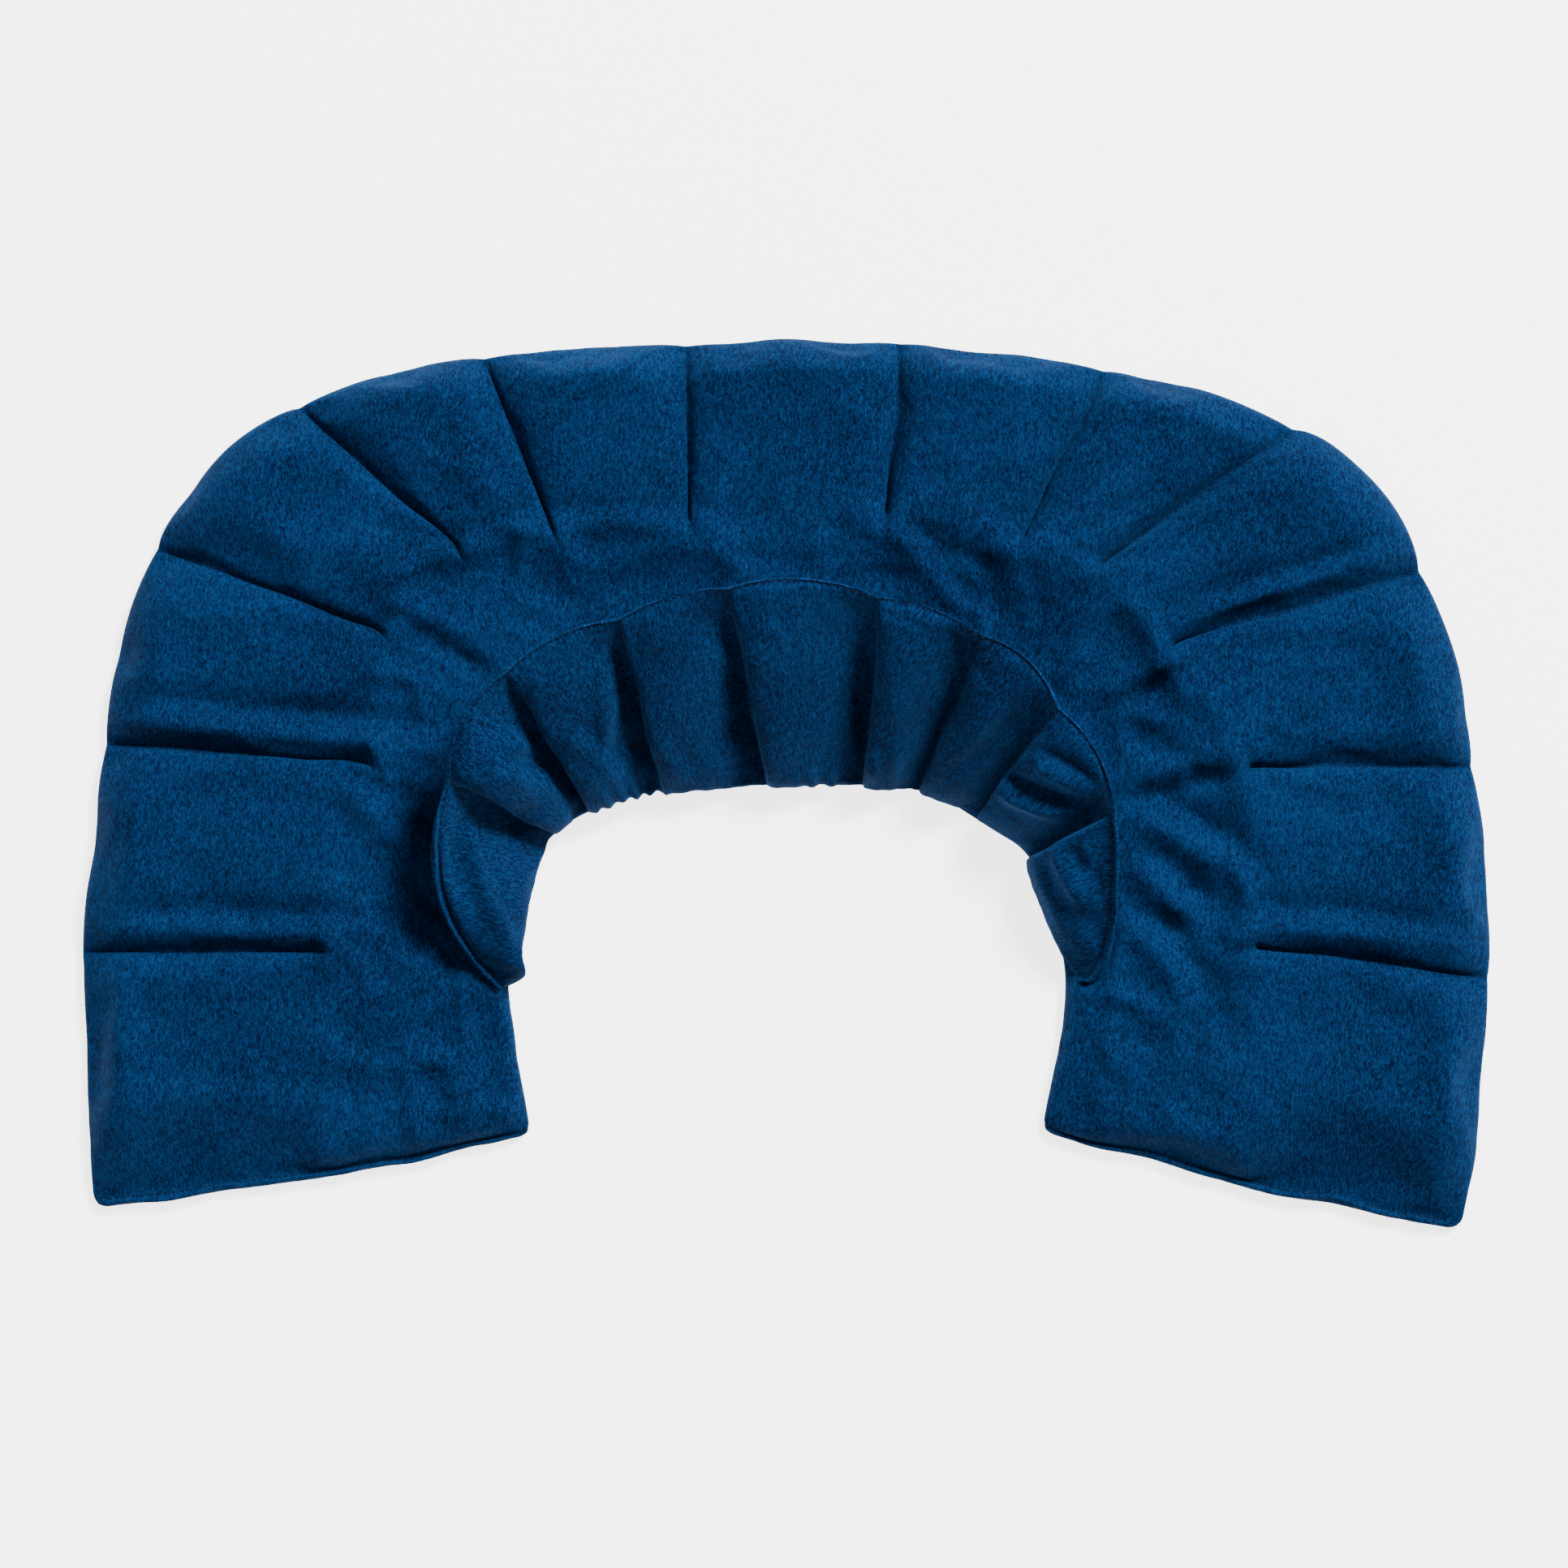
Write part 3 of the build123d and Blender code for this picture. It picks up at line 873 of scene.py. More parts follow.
@dataclass
class ShoulderPad:
    """The flat U of thirteen bead channels. Plan places are shares of the half width, from the origin."""

    unit: float
    rest_height: float
    channel_columns: int = 20
    lip_columns: int = 4
    outer_rows: int = 25
    inner_rows: int = 25
    fullness: float = 17.0 * MM
    closing_inset: float = 3.2 * MM
    seam_gap: float = 0.5 * MM
    seam_lift: float = 5.5 * MM
    ramp: float = 16 * MM
    wobble: float = 0.9 * MM
    corner_radii: Pair = (7.0 * MM, 6.0 * MM)
    # How the columns crowd to the seams, and how the rows crowd to their ends and lean to one of them
    crowding: float = 0.6
    outer_spread: Pair = (0.35, 1.12)
    inner_spread: Pair = (0.25, 0.94)
    # Powers and shares that shape the filling: the smaller a power, the fuller the curve
    nip: float = 0.75
    crown: float = 0.42
    lip_crown: float = 0.16
    end_columns: int = 9
    seam_ends: Pair = (0.470, 0.06)
    edge_runs: Pair = (0.09, 0.12)
    yoke_sag: float = 0.28
    collar_slope: float = 0.4
    flatness: float = 0.55
    # Unevenness of the filling: height, pitch and seed
    bumps: tuple[tuple[float, float, int], ...] = (
        (0.7 * MM, 38 * MM, 10), (0.4 * MM, 16 * MM, 11), (0.2 * MM, 7 * MM, 12),
    )

    # The outline's corners and the outer ends of the twelve channel seams, from the left leg round
    outer: tuple[Pair, ...] = (
        (-0.981, -0.604), (-0.997, -0.239), (-0.962, 0.059), (-0.887, 0.335), (-0.688, 0.531),
        (-0.426, 0.602), (-0.140, 0.623), (0.166, 0.623), (0.452, 0.585), (0.721, 0.504),
        (0.899, 0.303), (0.976, 0.023), (0.997, -0.274), (0.962, -0.634),
    )
    # How far each channel's outer edge bows out between its seams
    bows: tuple[float, ...] = (
        0.002, 0.004, 0.018, 0.032, 0.017, 0.010, 0.009, 0.008, 0.017, 0.036, 0.019, 0.013, 0.009,
    )
    # The inner ends of the seams, and the middles of the leg ends
    middle: tuple[Pair, ...] = (
        (-0.662, -0.561), (-0.660, -0.234), (-0.589, 0.029), (-0.572, 0.216), (-0.466, 0.338),
        (-0.330, 0.369), (-0.136, 0.377), (0.143, 0.384), (0.342, 0.352), (0.448, 0.308),
        (0.546, 0.196), (0.656, 0.023), (0.667, -0.231), (0.664, -0.575),
    )
    # Where each seam's line would meet the neckline, and the inner corners of the leg ends
    neck: tuple[Pair, ...] = (
        (-0.353, -0.499), (-0.387, -0.290), (-0.374, -0.180), (-0.345, -0.102), (-0.286, -0.048),
        (-0.185, -0.014), (-0.068, -0.005), (0.070, -0.004), (0.190, -0.010), (0.290, -0.068),
        (0.348, -0.112), (0.374, -0.190), (0.395, -0.296), (0.360, -0.491),
    )

    def columns(self) -> tuple[np.ndarray, list[int]]:
        """Places the grid's columns.

        Returns:
            Each column's place along the stations, and the columns where a seam lies.
        """
        lip = np.linspace(0.0, 1.0, self.lip_columns + 1)
        channels = len(self.outer) - 1
        ends = [self.end_share(0), channels - self.end_share(-1)]
        marks = [ends[0], *range(1, channels), ends[1]]
        places = list(lip[:-1] * ends[0])
        seams = []
        for a, b in zip(marks[:-1], marks[1:]):
            seams.append(len(places))
            places.extend(a + (b - a) * crowded_steps(self.channel_columns, self.crowding)[:-1])
        seams.append(len(places))
        places.extend(ends[1] + (channels - ends[1]) * lip)
        return np.array(places), seams

    def end_share(self, which: int) -> float:
        """Says what share of a leg's last channel its closing lip takes up.

        Args:
            which: 0 for the left leg, -1 for the right one.

        Returns:
            The share.
        """
        a = np.array(self.middle[which]) * self.unit
        b = np.array(self.middle[1 if which == 0 else -2]) * self.unit
        return self.closing_inset / float(np.hypot(*(a - b)))

    def outer_line(self, places: np.ndarray) -> np.ndarray:
        """Returns the outer edge, which bows out between the seams and nips in at each of them."""
        straight, out, part, span = runs_between(self.outer, places)
        return straight + out * np.array(self.bows)[span][:, None] * (4 * part * (1 - part)) ** self.nip

    def plan(self) -> tuple[np.ndarray, list[int], np.ndarray]:
        """Lays the grid out flat.

        Returns:
            The plan places of rows by columns in metres, the seam columns, and each row's share.
        """
        places, seams = self.columns()
        outer = self.outer_line(places)
        middle = curve_through(np.array(self.middle), places)
        neck = curve_through(np.array(self.neck), places)
        first = crowded_steps(self.outer_rows, self.outer_spread[0]) ** self.outer_spread[1]
        second = crowded_steps(self.inner_rows, self.inner_spread[0])[1:] ** self.inner_spread[1]
        rows = [outer + (middle - outer) * share for share in first]
        rows += [middle + (neck - middle) * share for share in second]
        shares = np.concatenate([first / 2, 0.5 + second / 2])
        plan = np.array(rows) * self.unit
        for row, opposite, radius in ((0, -1, self.corner_radii[0]), (-1, 0, self.corner_radii[1])):
            for column, inward in ((0, seams[1]), (-1, seams[-2])):
                corner, along, across = plan[row, column], plan[opposite, column], plan[row, inward]
                plan = rounded_corner(plan, corner, along, across, radius)
        wobble = np.dstack([soft_noise(plan, 26 * MM, seed) for seed in (31, 32)])
        return plan + self.wobble * wobble, seams, shares

    def quilt(self) -> tuple[Quilt, list[int], np.ndarray]:
        """Cuts and sews the two sheets, before they are filled.

        Returns:
            The sheets, the seam columns, and each row's share of the way to the neckline.
        """
        plan, seams, shares = self.plan()
        edge = edge_of_grid(*plan.shape[:2])
        sewn = edge.copy()
        sewn[:self.outer_rows + 1, seams] = True
        sewn[:, [seams[0], seams[-1]]] = True
        height = self.start_height(plan.shape[1], seams, shares)
        top, under = np.dstack([plan, height]), np.dstack([plan, -height])
        return Quilt("shoulder_pad", top, under, sewn, edge, plan.copy()), seams, shares

    def start_height(self, columns: int, seams: list[int], shares: np.ndarray) -> np.ndarray:
        """Gives the crowned height of the unfilled channels above the sheet's middle.

        Args:
            columns: how many columns the grid has.
            seams: the columns where a seam lies.
            shares: each row's share of the way to the neckline.

        Returns:
            The height at each grid point, in metres.
        """
        crown = np.sin(np.pi * within_chambers(columns, seams, self.crowding)) ** self.crown
        lip = np.zeros(columns)
        for a, b in ((0, seams[0]), (seams[-1], columns - 1)):
            lip[a:b + 1] = np.sin(np.pi * np.linspace(0.0, 1.0, b - a + 1)) * self.lip_crown
        places = np.arange(columns)
        from_end = np.minimum(places - seams[0], seams[-1] - places)
        leg_ends = np.sin(np.pi / 2 * np.clip(from_end / self.end_columns, 0.0, 1.0)) ** 0.6
        open_yoke = smooth_step((shares - self.seam_ends[0]) / self.seam_ends[1])[:, None]
        across = crown[None, :] * (1 - open_yoke) + open_yoke
        at_edge = np.clip(shares / self.edge_runs[0], 0.0, 1.0)
        at_neck = np.clip((1 - shares) / self.edge_runs[1], 0.0, 1.0)
        edges = (at_edge * at_neck) ** 0.5
        return self.fullness * (across * leg_ends[None, :] + lip[None, :]) * edges[:, None]

    def settle(self, quilt: Quilt, shares: np.ndarray, seams: list[int]) -> None:
        """Brings the filled pad to its real thickness, and lays its underside on the floor.

        Args:
            quilt: the filled cloth.
            shares: each row's share of the way to the neckline.
            seams: the columns where a seam lies.
        """
        level = self.rest_height
        columns = quilt.top.shape[1]
        rise = np.maximum(quilt.top[..., 2], 0.0)
        fall = np.maximum(-quilt.under[..., 2], 0.0)
        rise *= 1 + 0.06 * soft_noise(quilt.top, 48 * MM, 3)
        yoke = smooth_step((shares - 0.5) / 0.2)[:, None]
        rise *= 1 - self.yoke_sag * yoke
        inward = np.linalg.norm(quilt.top[..., :2] - quilt.top[-1:, :, :2], axis=2)
        ceiling = self.collar_slope * inward + 0.5 * MM
        soft = 1.5 * MM
        held = -np.logaddexp(-rise / soft, -ceiling / soft) * soft
        rise = rise + (np.minimum(held, rise) - rise) * self.collared(columns, seams)
        seam_level = level + self.seam_lift * self.lifted(shares, seams, columns)
        squeeze = 1 - (seam_level - level) / self.fullness
        quilt.top[..., 2] = seam_level + np.maximum(rise, 0.0) * squeeze
        quilt.under[..., 2] = seam_level * np.exp(-fall / (self.flatness * level))
        inner = quilt.sewn & ~quilt.edge
        quilt.top[inner, 2] = (seam_level + self.seam_gap)[inner]
        quilt.under[inner, 2] = (seam_level - self.seam_gap)[inner]

    def lifted(self, shares: np.ndarray, seams: list[int], columns: int) -> np.ndarray:
        """Says how far the filling on both sides lifts the seams off the floor.

        Args:
            shares: each row's share of the way to the neckline.
            seams: the columns where a seam lies.
            columns: how many columns the grid has.

        Returns:
            A share for each grid point.
        """
        across = smooth_step(shares / 0.14) * smooth_step((0.66 - shares) / 0.16)
        from_left, from_right = self.from_ends(columns, seams, 0)
        return across[:, None] * (smooth_step(from_left) * smooth_step(from_right))[None, :]

    def from_ends(self, columns: int, seams: list[int], first: int) -> tuple[np.ndarray, np.ndarray]:
        """Says how far each column lies past one seam of the left side and past its like on the right.

        Args:
            columns: how many columns the grid has.
            seams: the columns where a seam lies.
            first: which seam, counted from the legs.

        Returns:
            Shares of the next channel for the left side, and for the right side.
        """
        places = np.arange(columns, dtype=float)
        from_left = (places - seams[first]) / (seams[first + 1] - seams[first])
        from_right = (seams[-1 - first] - places) / (seams[-1 - first] - seams[-2 - first])
        return from_left, from_right

    def collared(self, columns: int, seams: list[int]) -> np.ndarray:
        """Says, for each column, how far the collar stands over its neckline end."""
        from_left, from_right = self.from_ends(columns, seams, 1)
        return (smooth_step(from_left * 3) * smooth_step(from_right * 3))[None, :]

    def build(self) -> tuple[Sewn, Quilt, list[int]]:
        """Makes the filled cloth, with its folds.

        Returns:
            The finished cloth, the grid that it was sewn on and the seam columns.
        """
        quilt, seams, shares = self.quilt()
        quilt.inflate(pressure=3.0, ease=0.012, reach=5 * MM)
        self.settle(quilt, shares, seams)
        creased = quilt.sewn & ~quilt.edge
        sewn = quilt.finished(creased, 0.8)
        self.crumple(sewn)
        return sewn, quilt, seams

    def crumple(self, sewn: Sewn) -> None:
        """Adds the folds and the faint unevenness of the loose filling to the upper cloth.

        Args:
            sewn: the finished cloth.
        """
        upper = smooth_step(sewn.side) * smooth_step(sewn.slack)
        lift = sum(rise * soft_noise(sewn.points, pitch, seed) for rise, pitch, seed in self.bumps)
        yoke = smooth_step((sewn.row - 0.8 * self.outer_rows) / (0.35 * self.outer_rows))
        drift = 9 * MM * np.column_stack([soft_noise(sewn.points, 33 * MM, seed) for seed in (13, 14)])
        strayed = sewn.points[:, :2] + drift
        lift += (0.3 + 1.7 * yoke) * MM * creased_noise(strayed, 21 * MM, 15)
        lift += 0.8 * MM * yoke * creased_noise(strayed, 11 * MM, 16)
        for fold in PAD_FOLDS:
            lift += fold.height(sewn.points, self.unit)
        level = self.rest_height + 1.5 * MM
        room = np.clip((sewn.points[:, 2] - level) / (6 * MM), 0.0, 1.0)
        lift = np.where(lift < 0, lift * room, lift)
        sewn.points[:, 2] += lift * upper

    def dress(self, plush: bpy.types.Material, stitches: Stitches) -> None:
        """Parts the cloth into three pieces, sews them and ties the back piece to the frame.

        Args:
            plush: the pad's finish.
            stitches: the stitches to sew it with.
        """
        sewn, quilt, seams = self.build()
        last = float(quilt.sewn.shape[1])
        left_cut, right_cut = float(seams[2]), float(seams[-3])
        left = sewn.part("shoulder_pad_left", -1.0, left_cut, plush)
        back = sewn.part("shoulder_pad_back", left_cut, right_cut, plush)
        right = sewn.part("shoulder_pad_right", right_cut, last, plush)
        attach(back, "root")
        self.fold_with(left)
        self.fold_with(right)
        near = [f"bead_charge_{side}_{number}" for side in ("left", "right") for number in range(1, 5)]
        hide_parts("bottom_cover_back", "top_cover_back", "bead_charge_back", *near)
        for piece, side in ((left, "left"), (right, "right")):
            names = [f"bead_charge_{side}_5", f"bead_charge_{side}_leg"]
            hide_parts(*names, f"bottom_cover_{side}_leg", f"top_cover_{side}_leg")
        self.sew(quilt, seams, stitches)

    def sew(self, quilt: Quilt, seams: list[int], stitches: Stitches) -> None:
        """Sews the channel seams, the folds, the leg ends and the neckline.

        Args:
            quilt: the filled cloth.
            seams: the columns where a seam lies.
            stitches: the stitches to sew it with.
        """
        runs = [self.seam_lines(quilt, column, self.outer_rows + 1) for column in seams[1:-1]]
        channel_lines = [line for run in runs[1:-1] for line in run]
        shoulder = stitches.sew("stitches_shoulder", channel_lines)
        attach(shoulder, "root")
        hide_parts("quilting_threads")
        for run, column, side in ((runs[0], seams[0], "left"), (runs[-1], seams[-1], "right")):
            fold = stitches.sew(f"stitches_fold_{side}", run)
            self.fold_with(fold)
            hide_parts(f"fold_thread_{side}_leg")
            closing = stitches.sew(f"stitches_closing_{side}", self.seam_lines(quilt, column, None))
            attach(closing, f"{side}_leg")
            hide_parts(f"closing_thread_{side}_leg")
        line = quilt.top[-3, seams[2]:seams[-3] + 1] + np.array([0.0, 0.0, 0.2 * MM])
        neck = stitches.sew("stitches_neckline", [(line, np.tile([0.0, 0.0, 1.0], (len(line), 1)))])
        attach(neck, "root")
        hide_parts("neckline_thread")

    def seam_lines(self, quilt: Quilt, column: int, rows: int | None) -> list[Line]:
        """Returns a seam's sewing line on the upper cloth and on the under cloth.

        Args:
            quilt: the filled cloth.
            column: the seam's column.
            rows: where the seam stops, or None where it runs to the neckline.

        Returns:
            The points and the way out of the cloth, for each side.
        """
        lines = []
        for sheet, up in ((quilt.top, 1.0), (quilt.under, -1.0)):
            line = sheet[1:rows, column].copy()
            line[:, 2] = np.maximum(line[:, 2], 0.5 * MM)
            lines.append((line, np.tile([0.0, 0.0, up], (len(line), 1))))
        return lines

    def fold_with(self, piece: bpy.types.Object) -> None:
        """Bakes the piece's transform into its points."""
        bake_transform(piece)


# Folds of the upper cloth: start, end, width in mm, lift in mm, bow
PAD_FOLDS = (
    # the channel above each lowest side seam sags over it
    Fold((-0.985, 0.092), (-0.42, 0.045), 6.5, 4.4, 0.0, 1.0),
    Fold((-0.99, -0.205), (-0.52, -0.215), 5.5, 2.8, 0.0, 1.0),
    Fold((0.60, -0.205), (0.99, -0.235), 5.5, 2.8, 0.01, 1.0),
    Fold((0.56, 0.225), (0.90, 0.335), 5.5, 3.4, 0.0, 1.0),
    # the left side of the yoke
    Fold((-0.60, 0.255), (-0.38, 0.12), 5.0, -2.2, 0.01, 0.9),
    Fold((-0.66, 0.02), (-0.40, -0.26), 6.5, 3.4, 0.02, 1.0),
    Fold((-0.58, 0.0), (-0.37, -0.17), 5.0, 3.2, -0.01, 1.0),
    Fold((-0.55, -0.16), (-0.385, -0.30), 5.0, 3.2, 0.01, 1.0),
    Fold((-0.70, -0.11), (-0.46, -0.33), 8.0, 2.2, 0.01, 0.8),
    Fold((-0.56, -0.27), (-0.50, -0.46), 8.0, 1.2, 0.02, 0.7),
    # the back of the yoke, where the seams stop
    Fold((-0.60, 0.27), (-0.38, 0.345), 5.0, 2.2, 0.01, 0.9),
    Fold((-0.44, 0.345), (-0.12, 0.365), 4.5, 2.2, 0.01, 0.9),
    Fold((-0.15, 0.335), (0.16, 0.325), 6.5, 1.2, 0.01, 0.8),
    Fold((0.14, 0.365), (0.31, 0.27), 5.0, 3.0, -0.01, 1.0),
    Fold((0.17, 0.33), (0.27, 0.23), 4.5, 2.8, 0.0, 1.0),
    Fold((0.32, 0.345), (0.345, 0.20), 5.0, 1.5, 0.0, 0.8),
    Fold((0.42, 0.30), (0.38, 0.12), 7.0, 1.2, 0.02, 0.7),
    # the right side of the yoke
    Fold((0.62, 0.215), (0.40, 0.10), 5.0, 3.0, 0.0, 1.0),
    Fold((0.66, 0.04), (0.44, -0.02), 5.5, 3.0, -0.01, 1.0),
    Fold((0.46, -0.03), (0.68, -0.17), 6.5, 4.4, 0.015, 1.0),
    Fold((0.47, -0.10), (0.62, -0.25), 6.0, 4.2, 0.01, 1.0),
    Fold((0.46, -0.18), (0.60, -0.34), 6.5, 3.4, 0.01, 1.0),
    Fold((0.52, -0.30), (0.63, -0.42), 8.0, 1.2, 0.01, 0.7),
)


@dataclass
class Collar:
    """The leaning collar of nine filled pillows. Plan places are shares of the half width."""

    unit: float
    foot_height: float
    top_height: float
    pillow_columns: int = 20
    rows: int = 30
    depth: float = 14.0 * MM
    seam_gap: float = 0.5 * MM
    rim_roll: float = 1.6 * MM
    gather_pitch: float = 8.5 * MM
    gather: float = 1.5 * MM
    lap: float = 4.5 * MM
    wobble: float = 1.5 * MM
    sewn_rim: float = 0.940
    rim_rows: int = 5
    crowding: float = 0.65
    row_crowding: float = 0.3
    # How blunt the right tip is, how hollow the collar leans, and how each pillow leans and laps
    tuck: float = 0.35
    hollow: float = 0.055
    lean: float = 0.5
    lap_place: float = 0.09
    lining_flatness: float = 0.3
    # Width of the rolled rim at the collar's ends and along its back
    rim_widths: Pair = (4.4 * MM, 1.0 * MM)
    # Stretches of the foot, in pillows from the left, where the cloth is gathered
    gathered: tuple[Pair, ...] = ((2.0, 3.2), (4.3, 4.95))
    gather_height: float = 11 * MM
    # Filled while it is laid out: cloth run against slanting height, pillow number against run, and
    # each column's nearness to the ends and rim width
    slant: tuple[np.ndarray, np.ndarray] = (np.zeros(1), np.zeros(1))
    stretch: tuple[np.ndarray, np.ndarray] = (np.zeros(1), np.zeros(1))
    ends: np.ndarray = field(default_factory=lambda: np.zeros(1))
    rolled: np.ndarray = field(default_factory=lambda: np.zeros(1))

    # The free edge, from the left end round: plan places, and shares of the collar's height
    rim: tuple[Pair, ...] = (
        (-0.400, -0.292), (-0.470, 0.006), (-0.386, 0.156), (-0.229, 0.229), (-0.078, 0.272),
        (0.130, 0.260), (0.275, 0.206), (0.381, 0.106), (0.461, -0.038), (0.420, -0.282),
    )
    rim_heights: tuple[float, ...] = (0.16, 0.80, 0.94, 0.98, 1.0, 1.0, 0.98, 0.94, 0.80, 0.16)
    # The edge between the seams: how far it bows out
    rim_bows: tuple[float, ...] = (0.052, 0.020, 0.014, 0.010, 0.018, 0.010, 0.018, 0.016, 0.031)
    # The foot, sewn to the neckline
    foot: tuple[Pair, ...] = (
        (-0.391, -0.288), (-0.326, -0.066), (-0.275, -0.042), (-0.171, -0.014), (-0.024, -0.004),
        (0.111, -0.004), (0.190, -0.011), (0.272, -0.046), (0.348, -0.104), (0.410, -0.278),
    )
    foot_bows: tuple[float, ...] = (0.006, 0.006, 0.006, 0.002, 0.002, 0.002, 0.004, 0.008, 0.002)

    def line(self, corners: tuple[Pair, ...], bows: tuple[float, ...], places: np.ndarray) -> np.ndarray:
        """Draws a plan line that bows out between its corners, bluntly before the last one.

        Args:
            corners: the line's corners.
            bows: how far it bows out after each corner.
            places: how far along the line, where a whole number is a corner.

        Returns:
            The places in the plane, in metres.
        """
        straight, out, part, span = runs_between(corners, places)
        tucked = part * (1 - part) ** self.tuck * (1 + self.tuck) * ((1 + self.tuck) / self.tuck) ** self.tuck
        bulge = np.where(span[:, None] == len(bows) - 1, tucked, 4 * part * (1 - part))
        return (straight + out * np.array(bows)[span][:, None] * bulge) * self.unit

    def columns(self) -> tuple[np.ndarray, list[int]]:
        """Places the grid's columns.

        Returns:
            Each column's place along the stations, and the columns where a seam lies.
        """
        pillows = len(self.foot_bows)
        steps = crowded_steps(self.pillow_columns, self.crowding)[:-1]
        places = [number + step for number in range(pillows) for step in steps]
        seams = [number * self.pillow_columns for number in range(1, pillows)]
        return np.array(places + [float(pillows)]), seams

    def within(self, columns: int, seams: list[int]) -> np.ndarray:
        """Returns each column's share of its pillow, from the left."""
        return within_chambers(columns, [0, *seams, columns - 1], self.crowding)

    def heights(self, places: np.ndarray) -> np.ndarray:
        """Returns how high the free edge stands at each place."""
        levels = curve_through(np.array(self.rim_heights)[:, None], places)[:, 0]
        return self.foot_height + (self.top_height - self.foot_height) * np.clip(levels, 0.0, 1.0)

    def frame_surface(self) -> tuple[np.ndarray, np.ndarray, np.ndarray, list[int], np.ndarray]:
        """Lays out the middle surface of the collar.

        Returns:
            Its points, the way to the neck at each point, the cloth places, the seam columns and
            each row's share of the way up.
        """
        places, seams = self.columns()
        foot = np.column_stack([self.line(self.foot, self.foot_bows, places),
                                np.full(len(places), self.foot_height)])
        rim = np.column_stack([self.line(self.rim, self.rim_bows, places), self.heights(places)])
        shares = self.row_shares()
        up = rim - foot
        length = np.linalg.norm(up, axis=1)
        along = np.gradient(foot * 0.5 + rim * 0.5, axis=0)
        out = np.cross(along, up)
        out /= np.maximum(np.linalg.norm(out, axis=1, keepdims=True), TINY)
        span = float(len(self.rim_bows))
        self.ends = smooth_step((1.5 - np.minimum(places, span - places)) / 1.0)
        self.rolled = self.rim_widths[1] + (self.rim_widths[0] - self.rim_widths[1]) * self.ends
        stitched = 1 - self.rolled / np.maximum(length, 8 * MM)
        nominal = shares[:, None]
        below = nominal / self.sewn_rim * stitched
        above = stitched + (nominal - self.sewn_rim) / (1 - self.sewn_rim) * (1 - stitched)
        level = np.where(nominal <= self.sewn_rim, below, above)
        hollow = self.hollow * length * 4 * level * (1 - level)
        points = foot + up * level[..., None] - out * hollow[..., None]
        sway = smooth_step(4 * level * (1 - level)) * self.wobble
        points[..., 0] += sway * soft_noise(points[..., ::2], 19 * MM, 33)
        steps = np.linalg.norm(np.diff(foot + rim, axis=0), axis=1) / 2
        reach = np.concatenate([[0.0], np.cumsum(steps)])
        self.slant = (reach, length)
        self.stretch = (places, reach)
        cloth = np.dstack([np.broadcast_to(reach, level.shape), length * level])
        return points, np.broadcast_to(out, points.shape), cloth, seams, shares

    def row_shares(self) -> np.ndarray:
        """Places the grid's rows, one of them on the stitched line below the rim.

        Returns:
            Each row's share of the way up.
        """
        body = crowded_steps(self.rows, self.row_crowding) * self.sewn_rim
        roll = self.sewn_rim + (1 - self.sewn_rim) * np.linspace(0.0, 1.0, self.rim_rows + 1)[1:]
        return np.concatenate([body, roll])

    def quilt(self) -> tuple[Quilt, list[int], np.ndarray]:
        """Cuts and sews the two sheets, before they are filled.

        Returns:
            The sheets, the seam columns, and the way to the neck at each point.
        """
        points, out, cloth, seams, shares = self.frame_surface()
        rows, columns = points.shape[:2]
        edge = edge_of_grid(rows, columns)
        sewn = edge.copy()
        sewn[self.rows, :] = True
        sewn[:self.rows + 1, seams] = True
        within = self.within(columns, seams)
        crown = np.sin(np.pi * within ** 0.68) ** (0.40 + 0.45 * within)
        body = (np.sin(np.pi * np.clip(shares / self.sewn_rim, 0, 1) ** 0.8) ** 0.55)[:, None]
        body[self.rows:] = 0.0
        height = self.depth * crown[None, :] * body
        roll = np.clip((shares - self.sewn_rim) / (1 - self.sewn_rim), 0, 1)
        bead = np.sin(np.pi * roll ** 0.8) ** 0.6
        height += self.rim_roll * bead[:, None] * (0.45 + 0.55 * self.ends)[None, :]
        lift = out * height[..., None]
        quilt = Quilt("collar", points + lift, points - lift, sewn, edge, cloth)
        return quilt, seams, out

    def settle(self, quilt: Quilt, points: np.ndarray, out: np.ndarray, seams: list[int]) -> None:
        """Brings the pillows to their real depth and leans each one over the seam on its left.

        Args:
            quilt: the filled cloth.
            points: the collar's middle surface.
            out: the way to the neck at each point.
            seams: the columns where a seam lies.
        """
        columns = points.shape[1]
        neck = ((quilt.top - points) * out).sum(axis=2)
        body = ((quilt.under - points) * out).sum(axis=2)
        within = self.within(columns, seams)
        lean = 1 + self.lean * (0.5 - within)
        lean *= 1 + 0.10 * np.sin(5 * np.linspace(0, 9, columns))
        extra = np.maximum(neck, 0) * (lean[None, :] - 1)
        extra[self.rows:] = 0.0
        quilt.top += out * extra[..., None]
        run = np.gradient(points, axis=1)
        run /= np.maximum(np.linalg.norm(run, axis=2, keepdims=True), TINY)
        overhang = within / self.lap_place * np.exp(1 - within / self.lap_place)
        overhang[:seams[0]] = 0.0
        height = np.clip(neck / self.depth, 0.0, 1.0)
        height[self.rows:] = 0.0
        quilt.top -= run * (self.lap * overhang[None, :] * height)[..., None]
        less = body * -self.lining_flatness
        less[self.rows:] = 0.0
        quilt.under += out * less[..., None]
        inner = quilt.sewn & ~quilt.edge
        quilt.top[inner] += out[inner] * self.seam_gap
        quilt.under[inner] -= out[inner] * self.seam_gap

